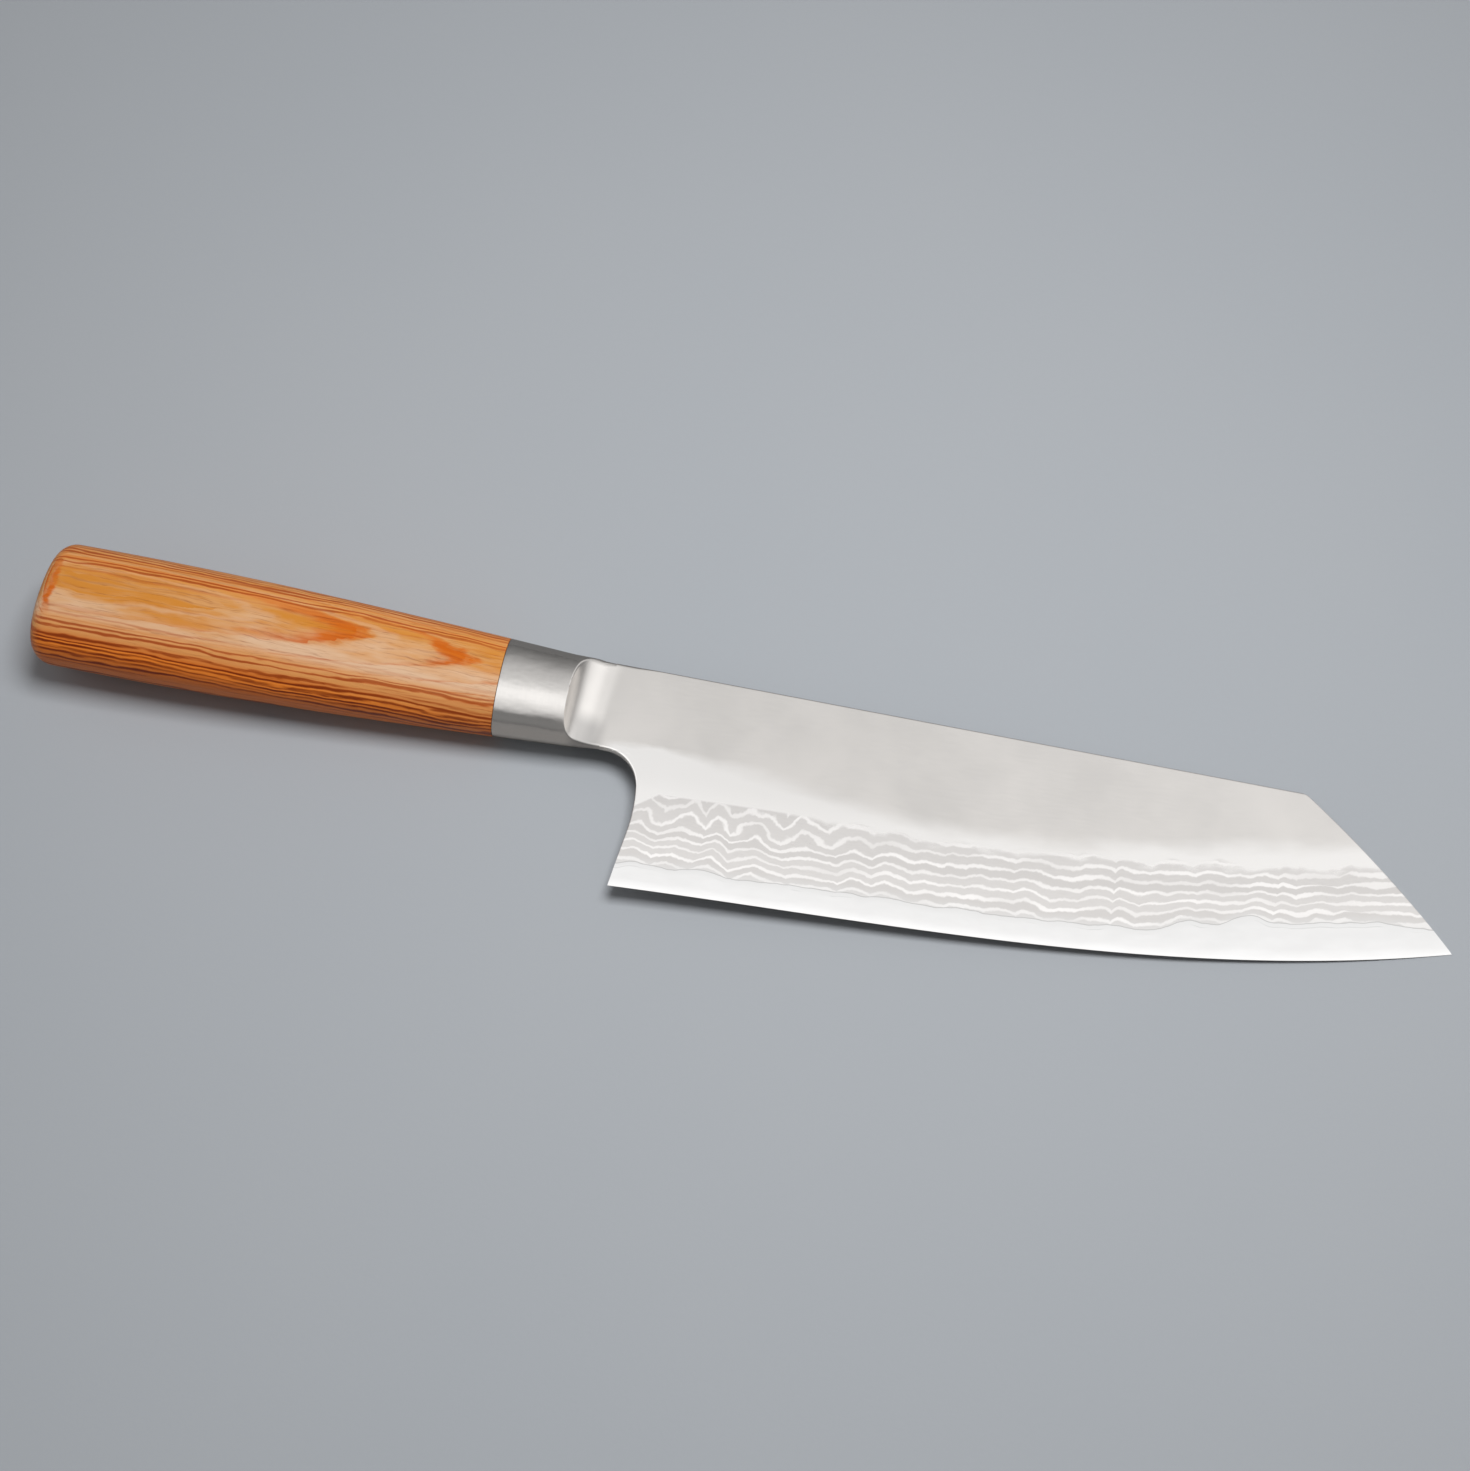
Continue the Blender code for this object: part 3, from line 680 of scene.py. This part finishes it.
# %% Bolster and handle sizes, in millimetres
HANDLE_LENGTH = 102.0
HANDLE_FRONT_HEIGHT, HANDLE_FRONT_THICKNESS = 21.8, 17.4
HANDLE_BUTT_HEIGHT, HANDLE_BUTT_THICKNESS, SWELL_LENGTH = 27.2, 21.8, 85.0
OVAL_POWER, BUTT_RADIUS, BUTT_DOME = 2.25, 4.0, 1.2
CHEEK_LIP, CREST_REACH, EASED_COVE_TOP = 0.3, 0.35, 1.8
SEAM_EASE, SEAT_GAP = 0.12, 0.1
LIP_REACH, COARSE_STEP, COARSE_RINGS, FINE_RINGS = 5.0, 0.8, 16, 88
BUTT_SHIFT, BUTT_LEAN = 0.65, 0.05
BORE_DEPTH, BORE_RADIUS, SPIGOT_RADIUS, SPIGOT_LENGTH = 86.0, 5.31, 5.91, 4.0
print("grip of", HANDLE_LENGTH + BOLSTER_LENGTH, "mm with its bolster")


def oval(x, half_height, half_thickness, count):
    """Points round a squared oval across the knife."""
    points = []
    for i in range(count):
        turn = 2 * math.pi * i / count
        y = math.copysign(abs(math.cos(turn)) ** (2 / OVAL_POWER), math.cos(turn))
        z = math.copysign(abs(math.sin(turn)) ** (2 / OVAL_POWER), math.sin(turn))
        points.append((x, y * half_height, z * half_thickness))
    return points


def skin(name, rings):
    """A closed body through rings of points, each grown from the last, with its ends filled."""
    bm = bmesh.new()
    turn = bm.verts.layers.int.new("turn")
    verts = bmesh.ops.create_circle(bm, segments=len(rings[0]), radius=1.0)["verts"]
    for i, vert in enumerate(verts):
        vert[turn] = i
        vert.co = rings[0][i]
    first = edges = bm.edges[:]
    for ring in rings[1:]:
        verts = new_verts(bmesh.ops.extrude_edge_only(bm, edges=edges)["geom"])
        for vert in verts:
            vert.co = ring[vert[turn]]
        mine = set(verts)
        edges = list({e for v in verts for e in v.link_edges if e.other_vert(v) in mine})
    for loop in (first, edges):
        bmesh.ops.contextual_create(bm, geom=loop)
    bmesh.ops.scale(bm, vec=(MM, MM, MM), verts=bm.verts[:])
    return finish_mesh(name, bm)


# %% The hollow-ground bolster
BOLSTER_POINTS = 360


def cove_height(x, y):
    """Height of the ground hollow over the knife's middle, far above it where no wheel reached."""
    lip = CHEEK_LIP * smooth_step(BOLSTER_LENGTH, BOLSTER_LENGTH - LIP_REACH, x)
    return flat_half(max(x, BOLSTER_LENGTH), y) + cove_rise(x, y) + lip


def bolster_ring(x, inset=0.0):
    """The oval across the bolster at x, pressed down to the hollow where that lies lower."""
    share = x / BOLSTER_LENGTH
    half_height = between(HANDLE_FRONT_HEIGHT, BOLSTER_FRONT_HEIGHT, share) / 2 - inset
    half_thick = between(HANDLE_FRONT_THICKNESS, BOLSTER_FRONT_THICKNESS, share) / 2
    raised = max(half_height, SPINE_HEIGHT - inset) / half_height
    ring = []
    for _, y, z in oval(x, half_height, half_thick - inset, BOLSTER_POINTS):
        gap = half_height - abs(y)
        y = y * raised if y > 0 else y
        height = cove_height(x, y)
        if height < NOT_GROUND:
            reach = min(EASED_COVE_TOP if y > 0 else EASED_CHIN, EASED_SHARE * height)
            if gap < reach:
                height += math.sqrt(max(reach**2 - (reach - gap) ** 2, 0.0)) - reach
            z = math.copysign(max(smooth_min(abs(z), height, CREST_REACH), 0.0), z)
        ring.append((x, y, z))
    return ring


stations = [COARSE_STEP * i for i in range(1, COARSE_RINGS + 1)]
fine_start = stations[-1]
stations += [fine_start + (BOLSTER_LENGTH - fine_start) * i / FINE_RINGS for i in range(1, FINE_RINGS + 1)]
# The rim at the seam is rounded over by three rings.
rear = [bolster_ring(0.0, SEAM_EASE), bolster_ring(0.03, 0.04), bolster_ring(SEAM_EASE, 0.0)]
bolster = skin("bolster_collar", rear + [bolster_ring(x) for x in stations])


# %% [markdown]
# ## Handle
# The grip is one block of glued veneers, turned to a squared oval that swells towards the butt. It is
# grown ring by ring, from the closed end of the bore out to the front face and back over the outside.

# %% Handle
HANDLE_POINTS, HANDLE_RINGS, RIM_RINGS = 144, 60, 14
DOME_SHARES = (0.9, 0.78, 0.64, 0.5, 0.35, 0.2, 0.08)
# The front face's inner ring, and how far its rim is rounded over.
FACE_INSET, FRONT_EASE, EASE_MIDDLE = 0.5, 0.1, 0.03
RIM_X, LEAN_REACH = BUTT_RADIUS + BUTT_DOME - HANDLE_LENGTH, 6


def handle_ring(x, inset=0.0):
    """The oval across the wood at x, wider towards the butt."""
    swell = math.sin(math.pi / 2 * -x / SWELL_LENGTH)
    height = between(HANDLE_FRONT_HEIGHT, HANDLE_BUTT_HEIGHT, swell)
    thickness = between(HANDLE_FRONT_THICKNESS, HANDLE_BUTT_THICKNESS, swell)
    return oval(x, height / 2 - inset, thickness / 2 - inset, HANDLE_POINTS)


def circle(x, radius):
    turns = [2 * math.pi * i / HANDLE_POINTS for i in range(HANDLE_POINTS)]
    return [(x, radius * math.cos(a), radius * math.sin(a)) for a in turns]


def handle_rings():
    """From the bore's closed end out to the front face, and back over the outside to the butt."""
    front, step, seat = -SEAT_GAP, -SPIGOT_LENGTH - SEAT_GAP, SPIGOT_RADIUS + SEAT_GAP
    rings = [circle(-BORE_DEPTH, BORE_RADIUS), circle(step, BORE_RADIUS)]
    rings += [circle(step, seat), circle(front, seat)]
    rings += [handle_ring(front, FACE_INSET), handle_ring(front, FRONT_EASE)]
    rings += [handle_ring(front - EASE_MIDDLE, EASE_MIDDLE)]
    start = front - FRONT_EASE
    rings += [handle_ring(start + (RIM_X - start) * i / HANDLE_RINGS) for i in range(HANDLE_RINGS + 1)]
    half_height, half_thick = max(p[1] for p in rings[-1]), max(p[2] for p in rings[-1])
    for i in range(1, RIM_RINGS + 1):
        turn = math.pi / 2 * i / RIM_RINGS
        x, inset = RIM_X - BUTT_RADIUS * math.sin(turn), BUTT_RADIUS * (1 - math.cos(turn))
        rings.append(oval(x, half_height - inset, half_thick - inset, HANDLE_POINTS))
    end_x, half_height, half_thick = x, half_height - BUTT_RADIUS, half_thick - BUTT_RADIUS
    for share in DOME_SHARES:
        x = end_x - BUTT_DOME * (1 - share**2)
        rings.append(oval(x, half_height * share, half_thick * share, HANDLE_POINTS))
    return rings


def lean_back(ring):
    """Shifts a ring near the butt back, most at its lower edge. All others stay."""
    share = smooth_step(RIM_X + LEAN_REACH, RIM_X - BUTT_RADIUS, ring[0][0])
    return [(x - share * (BUTT_SHIFT - BUTT_LEAN * y), y, z) for x, y, z in ring]


grip = skin("wood_grip", [lean_back(ring) for ring in handle_rings()])

# %% [markdown]
# ## Steel finishes
# All the steel is ground satin: fine lines run along the blade and round the bolster. The layered side
# was etched below the ridge, so its soft layers are dull and its hard ones bright. Contours of the
# layers run along the edge because the bevel cuts them at a slant.

# %% Satin steel, for the bolster and the flat of the blade
SATIN_DULL, SATIN_FAIR = (0.61, 0.59, 0.57), (0.69, 0.665, 0.64)
# The first grey is painted shade for the hollow's lower end, and the second is the brushed collar's own
# grey.
HOLLOW_PAINTED_SHADE, COLLAR_GREY = (0.38, 0.37, 0.36), (0.56, 0.55, 0.535)


def scratches(graph, place, along, across, seed):
    """Fine ground lines: noise that is stretched one way. place is in millimetres."""
    x, y, z = graph.parts(place)
    return graph.noise(graph.vector(x * along, y * across, z * across + seed), 1.0, 2.0, 0.6)


def satin_steel(graph, place):
    """Colour, with painted shade at the hollow's lower end, roughness and lines of ground steel, alike on
    both sides of the bolster's seam.
    """
    cloud = graph.noise(place, 0.05, 3.0)
    lines = scratches(graph, place, 0.3, 5.0, 1.0)
    tone = graph.mix((0.5 + cloud * 1.3 + lines * 0.35).ramp(0.1, 0.9), SATIN_DULL, SATIN_FAIR)
    x, y, _ = graph.parts(place)
    # Painted shade: the hollow's lower end, next to the finger curve, is darkened in the colour.
    painted_shade_hollow_end = y.ramp(-1.5, -6.0) * x.ramp(15.5, 18.5) * x.ramp(25.0, 21.0)
    tone = graph.mix(painted_shade_hollow_end * 0.8, tone, HOLLOW_PAINTED_SHADE)
    return tone, 0.25 + cloud * 0.06 + lines * 0.04, lines


# %% Bolster finish
# The collar is brushed round, and buffing left it slightly uneven. The hollow is ground like the blade.
satin = new_finish("satin_bolster", metallic=1.0)
place = satin.knife_place()
x, y, z = satin.parts(place)
tone, rough, lines = satin_steel(satin, place)
round_lines = scratches(satin, place, 7.0, 0.35, 5.0)
uneven = satin.noise(satin.vector(x * 0.16, y * 0.3, z * 0.3), 1.0, 2.0, 0.5)
on_collar = x.ramp(17.0, 12.0)
greyed = on_collar * (0.5 + round_lines).ramp(0.3, 0.8) * 0.35
collar_relief = (uneven * 2.2 + round_lines * 0.03) * on_collar
bolster_look = set_finish(
    satin,
    Base_Color=satin.mix(greyed, tone, COLLAR_GREY),
    Roughness=rough - on_collar * 0.07 + on_collar * round_lines * 0.06,
    Normal=bump(satin, collar_relief + lines * (1 - on_collar) * 0.04, 0.05),
)

# %% Core steel
# The core is brighter than its sides. A darker film lies near the weld, and a broken line runs below it.
CORE_DULL, CORE_FAIR = (0.735, 0.73, 0.725), (0.775, 0.77, 0.765)
CORE_NEAR_WELD, CORE_LINE_GREY = (0.66, 0.655, 0.65), (0.56, 0.555, 0.55)
hard = new_finish("bare_core", metallic=1.0)
along, above, over_core = hard.ground_place()
lines = hard.noise(hard.vector(along * 0.4, above * 6.0, 0.0), 1.0, 2.0, 0.6)
haze = hard.noise(hard.vector(along * 0.12, above * 0.3, 4.0), 1.0, 2.0)
faint_line = abs(over_core + 0.8 + haze * 1.2).ramp(0.16, 0.03) * haze.ramp(-0.05, 0.12)
near_weld = over_core.ramp(-1.4, 0.0) * (0.5 + haze * 2).ramp(0.1, 0.9)
tone = hard.mix((0.5 + haze).ramp(0.2, 0.8), CORE_DULL, CORE_FAIR)
tone = hard.mix(near_weld * 0.35, tone, CORE_NEAR_WELD)
core_look = set_finish(
    hard,
    Base_Color=hard.mix(faint_line * 0.6, tone, CORE_LINE_GREY),
    Roughness=0.29 + lines * 0.06,
    Normal=bump(hard, lines, 0.003),
)

# %% [markdown]
# The layers are drawn as contours of one height. Noise could bend each line by itself, but lines would
# then cross. One phase bends them all together: its whole numbers part the layers, and its fractions
# place the bright line in each.

# %% Layered steel: how the layers run
# Ranges are in millimetres along the knife or over the edge.
PATTERN_TOP, PATTERN_START, PATTERN_CORNER = 21.3, 33.0, 3.4
KINK_LENGTH, KINK_STRAY = 8.6, 3.4
layered = new_finish("layered_side", metallic=1.0)
along, above, over_core = layered.ground_place()
place = layered.knife_place()

# The layers follow the welded line close to it and forget it higher up.
core_rise = above - over_core - CORE_LINE_HEIGHT
height = above - CORE_LINE_HEIGHT - core_rise * (0.25 + above.ramp(19.0, 6.0) * 0.75)

# Pointed waves at uneven distances, upright near the heel and leaning further on.
wide = layered.noise(layered.vector(along * 0.045, above * 0.02, 2.0), 1.0, 2.0, 0.5)
stray = layered.noise(layered.vector(along * 0.05, above * 0.02, 6.4), 1.0, 2.0)
beat_share = (along / KINK_LENGTH + stray * KINK_STRAY) % 1.0
peak_at = 0.5 + along.ramp(60.0, 100.0) * 0.2
kink = beat_share.sum("MINIMUM", beat_share / peak_at, (1 - beat_share) / (1 - peak_at))
kink = kink * (0.5 + kink * 0.5)

# They stand high near the heel and lie down towards the point, where a slow sway takes over.
lively = along.ramp(105.0, 55.0) * (0.4 + above.ramp(8.0, 15.0) * 0.6)
stretch = layered.noise(layered.vector(along * 0.09, 0.0, 8.1), 1.0, 1.0)
pull = 0.32 + lively * 0.63 + stretch * (1.1 + lively * 0.7)
sway = layered.noise(layered.vector(along * 0.11, above * 0.05, 15.2), 1.0, 1.0) * (1 - lively) * 1.8
small = layered.noise(layered.vector(along * 0.24, above * 0.19, 9.0), 1.0, 3.0, 0.6)
fold = layered.noise(layered.vector(along * 0.17, above * 0.15, 12.6), 1.0, 1.0)
folded = above.ramp(11.0, 19.0) * along.ramp(92.0, 60.0)
shift = wide * 3.0 + kink * pull * 2.1 + sway + small * (1.9 + folded * 0.8) + fold * folded * 2.4

# A layer is about two millimetres high, and higher in the uppermost waves near the heel.
spread = 1.95 + along.ramp(60.0, 120.0) * 0.4
slack = above.ramp(13.5, 17.0) * (above - 14.0) * along.ramp(110.0, 70.0) * 0.4
phase = (height + shift - slack) / spread
print("layers run by", len(layered.tree.nodes), "nodes")

# %% Layered steel: bright lines and dull bodies
LAYERED_DARK, LAYERED_MID = (0.605, 0.585, 0.57), (0.65, 0.63, 0.615)
LAYERED_BRIGHT = (0.865, 0.845, 0.83)
SIDE_NEAR_WELD, WELD_GREY = (0.69, 0.685, 0.68), (0.44, 0.435, 0.43)
band = phase.floor()
share = phase % 1.0
strength = 0.78 + layered.noise(layered.vector(along * 0.06, band * 3.3, 1.0), 1.0, 1.0) * 1.3
swell = layered.noise(layered.vector(along * 0.08, band * 2.7, 4.0), 1.0, 2.0)
swell = swell * (0.35 + along.ramp(168.0, 190.0) * 0.9)
white_line = (abs(share - 0.5) - swell).ramp(0.25, 0.05) * strength
band_tone = layered.white_noise((phase + 0.5).floor())
body = layered.noise(layered.vector(along * 0.5, above * 2.2, 3.0), 1.0, 2.0)
dull = layered.mix((band_tone * 0.7 + body * 0.8).ramp(0.0, 0.8), LAYERED_DARK, LAYERED_MID)
pattern = layered.mix(white_line, dull, LAYERED_BRIGHT)
pattern = layered.mix(over_core.ramp(2.2, 0.2) * 0.4, pattern, SIDE_NEAR_WELD)
pattern = layered.mix(over_core.ramp(0.26, 0.10) * 0.75, pattern, WELD_GREY)
print("with their lines", len(layered.tree.nodes), "nodes")

# %% Layered steel: pale haze over the pattern, and the satin flat over both
FOG_WHITE = (0.82, 0.805, 0.79)
corner = PATTERN_TOP - PATTERN_CORNER + (along - PATTERN_START) * 0.65
top = corner.sum("MINIMUM", corner, PATTERN_TOP) - along.ramp(70.0, 96.0) * wide * 3.0
blur = 0.45 + along.ramp(60.0, 84.0) * 1.5
patchy = layered.noise(layered.vector(along * 0.13, above * 0.3, 21.0), 1.0, 2.0) * 5.0 + shift * 0.8
etched = ((top - above - along.ramp(66.0, 90.0) * patchy) / blur).ramp(0.0, 1.0)
tone, rough, lines = satin_steel(layered, place)
cloud = layered.noise(layered.vector(along * 0.07, above * 0.16, 1.0), 1.0, 3.0)
fog_top = PATTERN_TOP + 1.0 + along.ramp(108.0, 30.0) * 9.0 + along.ramp(120.0, 168.0) * 3.0
soft = 1.1 + along.ramp(36.0, 60.0) * 1.6
fog = ((fog_top - above + cloud * 5.0) / soft).ramp(-1.0, 1.0) * along.ramp(23.0, 27.0)
upper = layered.mix(fog * (0.85 + along.ramp(60.0, 36.0) * 0.15), tone, FOG_WHITE)
layered_look = set_finish(
    layered,
    Base_Color=layered.mix(etched, upper, pattern),
    Roughness=rough + etched * 0.04,
    Normal=bump(layered, lines * 0.5 + white_line * etched * 0.5, 0.004),
)

# %% [markdown]
# ## Laminated wood
# The block is pressed from dyed birch veneers, nine tenths of a millimetre each. On the broad side the
# cut runs nearly along a glue line, which gives long tongues. One solid pattern that counts veneers
# through the block gives them. On the flanks the cut crosses the veneers, which gives close stripes.
# Those are finer than the count, so they are drawn over it from a second coordinate round the oval.

# %% Wood: veneers
# Their height, how much they lean, and where the topmost glue line that shows lies over the middle.
VENEER, VENEER_LEAN, TOP_VENEER = 0.9, 0.12, 9.16
wood = new_finish("laminated_wood", metallic=0.0)
place = wood.knife_place()
x, y, z = wood.parts(place)
drift = wood.noise(wood.vector(x * 0.06, y * 0.16, z * 0.1), 1.0, 3.0, 0.55)
ripple = wood.noise(wood.vector(x * 0.35, y * 0.9, z * 0.5), 1.0, 2.0, 0.5)
veneer = (z + y * VENEER_LEAN - TOP_VENEER + drift * 0.7 + ripple * 0.16) / VENEER
count = veneer.floor()
within = veneer % 1.0
dye = wood.white_noise(count * 0.37 + 2.0)
deep_share = dye.ramp(0.35, 0.65) * veneer.ramp(-0.1, -0.4)
print("about", round(HANDLE_BUTT_THICKNESS / VENEER), "veneers at the butt")

# %% Wood: fibres, slow changes of colour, and a painted sheen
# The pink is the wood's own colour in the pale rims by the tongues, and painted sheen on the broad side.
WOOD_YELLOW, WOOD_TAN, WOOD_PINK_AND_SHEEN = (0.61, 0.235, 0.033), (0.66, 0.33, 0.12), (0.71, 0.47, 0.30)
WOOD_ORANGE, WOOD_RUST, WOOD_DARK = (0.60, 0.125, 0.003), (0.46, 0.068, 0.001), (0.19, 0.022, 0.0)
bend = y + drift * 3.0
coarse = wood.noise(wood.vector(x * 0.035, bend * 0.8, z * 0.8 + count * 5.1), 1.0, 3.0, 0.6)
thread = wood.noise(wood.vector(x * 0.022, bend * 1.7, z * 1.7), 1.0, 3.0, 0.65)
dashes = wood.noise(wood.vector(x * 0.20, bend * 3.6, z * 3.6), 1.0, 2.0, 0.6)
figure = wood.noise(wood.vector(x * 0.045, y * 0.22, count * 3.7), 1.0, 3.0, 0.6)
tanned = (0.42 + figure * 2.0 + coarse * 1.4 + thread * 0.6).ramp(0.1, 0.9)
# Painted sheen: a pink band along the lower middle of the broad side, stronger towards the front, stands
# in for the lacquer's reflection of the bright room.
painted_sheen = (figure * 1.6 - (y - 0.5) * 0.12 + x.ramp(-75.0, -35.0) * 0.4).ramp(0.0, 1.0)
pale = wood.mix(tanned, WOOD_YELLOW, WOOD_TAN)
pale = wood.mix(painted_sheen * y.ramp(-8.0, -4.5), pale, WOOD_PINK_AND_SHEEN)
deep = wood.mix((0.5 + coarse * 2.4).ramp(0.1, 0.9), WOOD_RUST, WOOD_ORANGE)
tint = wood.mix(deep_share, pale, deep)
print("fibres by", len(wood.tree.nodes), "nodes")

# %% Wood: glue lines
# Dye gathers at each glue line and fades into the veneer above it. The topmost sheet has little of it.
RING_FROM_SEAM = 98.3
top_sheet = 1 - veneer.ramp(1.72, 1.86) * 0.9
patchy = 0.95 + figure * 1.4 + coarse * 1.8
soak = (within / (0.30 + count.ramp(0.0, 1.0) * 0.38)).ramp(1.0, 0.0) + within.ramp(0.82, 1.0) * 0.8
soak = soak * patchy * top_sheet * (0.35 + y.ramp(-3.5, 2.5) * 0.65)
tint = wood.mix(soak.ramp(0.08, 0.95) * 0.95, tint, WOOD_ORANGE)
rim = within.ramp(0.55, 0.75) * within.ramp(0.96, 0.84) * veneer.ramp(1.9, 1.7) * y.ramp(-4.0, -1.0)
tint = wood.mix(rim * x.ramp(-8.0, -25.0) * 0.45, tint, WOOD_PINK_AND_SHEEN)
steep = abs(y - 1.5).ramp(3.5, 8.0)
broken = (0.5 + coarse * 2.6 + thread).ramp(0.25, 0.85)
glue = (within.ramp(0.22, 0.02) + within.ramp(0.95, 1.0)) * broken * top_sheet
tint = wood.mix(glue * (0.25 + steep * 0.6), tint, WOOD_RUST)
# One line comes out as a ring where the butt is rounded.
from_ring = abs(x + RING_FROM_SEAM + drift * 2.5 + ripple * 1.5)
butt_ring = from_ring.ramp(1.3, 0.3) * y.ramp(-7.0, -3.0) * patchy
tint = wood.mix(butt_ring * 0.8, tint, WOOD_ORANGE)
print("with glue lines", len(wood.tree.nodes), "nodes")

# %% Wood: flanks
# The flanks cut the veneers' edges, where fine lines lie close together and the ground is warmer.
FLANK_TAN, BELLY_ORANGE, BACK_TAN = (0.81, 0.395, 0.135), (0.97, 0.25, 0.02), (0.88, 0.44, 0.14)
long_side = x.ramp(-101.6, -98.8)
low, lowest, high = (
    turned * long_side for turned in (y.ramp(-3.5, -8.0), y.ramp(-8.0, -11.0), y.ramp(3.5, 8.0))
)
tint = wood.mix(low * 0.8, tint, FLANK_TAN)
tint = wood.mix(lowest * 0.9, tint, BELLY_ORANGE)
tint = wood.mix(high * 0.5, tint, BACK_TAN)
cut = abs(y) * 0.8 - z * 0.4
uneven = wood.noise(wood.vector(cut * 0.7, x * 0.012, y.ramp(-1.0, 1.0) * 9.0), 1.0, 1.0)
stripe = cut * 1.15 + drift * 2.6 + uneven * 1.3
number = (stripe + 0.5).floor()
stripe_dye = wood.white_noise(number)
band_dye = wood.white_noise((stripe / 2.0).floor() + 0.5)
stripe_length = wood.noise(wood.vector(x * 0.03, number * 2.3, 0.0), 1.0, 2.0)
line_strength = (stripe_dye * 1.25 + stripe_length * 1.8 + thread * 1.2).ramp(0.0, 1.0)
from_line = abs(stripe - number) - stripe_length * 0.35 - thread * 0.25
line, halo = from_line.ramp(0.30, 0.08) * line_strength, from_line.ramp(0.42, 0.14) * line_strength
band_share = (low * 0.25 + lowest * 0.35 + high * 0.25) * band_dye.ramp(0.45, 0.8) * 0.7
tint = wood.mix(band_share, tint, WOOD_RUST)
tint = wood.mix((0.15 + low * 0.75 + high * 0.7) * halo * 0.95, tint, WOOD_RUST)
tint = wood.mix((low * 0.4 + lowest * 0.55 + high * 0.25) * line * line_strength, tint, WOOD_DARK)
print("with stripes", len(wood.tree.nodes), "nodes")

# %% Wood: pores and lacquer
pores = (thread + dashes * 0.5).ramp(-0.02, 0.24) * 0.5 + (dashes + coarse * 0.3).ramp(0.09, 0.22) * 0.45
wood_look = set_finish(
    wood,
    Base_Color=wood.mix(pores * (0.5 - low * 0.25), tint, WOOD_DARK),
    Roughness=0.36 + dashes * 0.2,
    Normal=bump(wood, thread + dashes, 0.03),
    Coat_Weight=0.1,
    Coat_Roughness=0.2,
    Specular_IOR_Level=0.22,
)

# %% [markdown]
# ## Hidden pieces
# The tang and its bed of resin can't be seen, but they are part of the knife, so they keep their solids
# and get a finish of their own: mill-scaled bar with rub marks, and cloudy amber epoxy.

# %% Tang and resin
SCALE_GREY, RUBBED_GREY = (0.36, 0.35, 0.34), (0.54, 0.54, 0.53)
AMBER, PALE_AMBER = (0.62, 0.50, 0.30), (0.78, 0.70, 0.50)
bar = new_finish("plain_bar", metallic=1.0)
place = bar.knife_place()
scale_marks = bar.noise(place, 0.6, 4.0, 0.6)
rub = scratches(bar, place, 0.3, 5.0, 2.0)
bar_look = set_finish(
    bar,
    Base_Color=bar.mix((0.5 + scale_marks + rub * 0.5).ramp(0.2, 0.8), SCALE_GREY, RUBBED_GREY),
    Roughness=0.45 + scale_marks * 0.2,
    Normal=bump(bar, scale_marks + rub * 0.3, 0.02),
)
epoxy = new_finish("bedding_epoxy")
place = epoxy.knife_place()
cloud = epoxy.noise(place, 0.4, 3.0)
bubbles = epoxy.noise(place, 3.0, 1.0).ramp(0.2, 0.3)
epoxy_look = set_finish(
    epoxy,
    Base_Color=epoxy.mix((0.5 + cloud).ramp(0.2, 0.8), AMBER, PALE_AMBER),
    Roughness=0.28 + bubbles * 0.2,
    Normal=bump(epoxy, bubbles, 0.05),
)

# %% Give each piece its finish, its solid and its body
for piece, look, slot, node in (
    (core, core_look, "core_steel", "blade_core"),
    (clad_right, layered_look, "damascus_steel", "damascus_cladding_right"),
    (clad_left, layered_look, "damascus_steel", "damascus_cladding_left"),
    (bolster, bolster_look, "bolster_steel", "bolster"),
    (grip, wood_look, "laminated_wood", "handle"),
):
    piece.data.materials.append(look)
    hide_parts(node)
    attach(piece, "root")
    low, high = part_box(node)
    spots = [v.co for v in piece.data.vertices]
    grown = [(max(s[i] for s in spots) - high[i], low[i] - min(s[i] for s in spots)) for i in range(3)]
    print(piece.name, "past its solid", [tuple(round(v / MM, 2) for v in pair) for pair in grown], "mm")

for node, look in (("tang", bar_look), ("tang_resin", epoxy_look)):
    for place_in_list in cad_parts[node].material_slots:
        place_in_list.material = look
        print(node, "keeps its solid, dressed as", look.name)

# %% Sizes, and the end
scene.view_settings.view_transform = "Standard"
bpy.context.view_layer.update()
low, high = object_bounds()
print("dressed span", [round(v / MM, 2) for v in high - low], "mm")
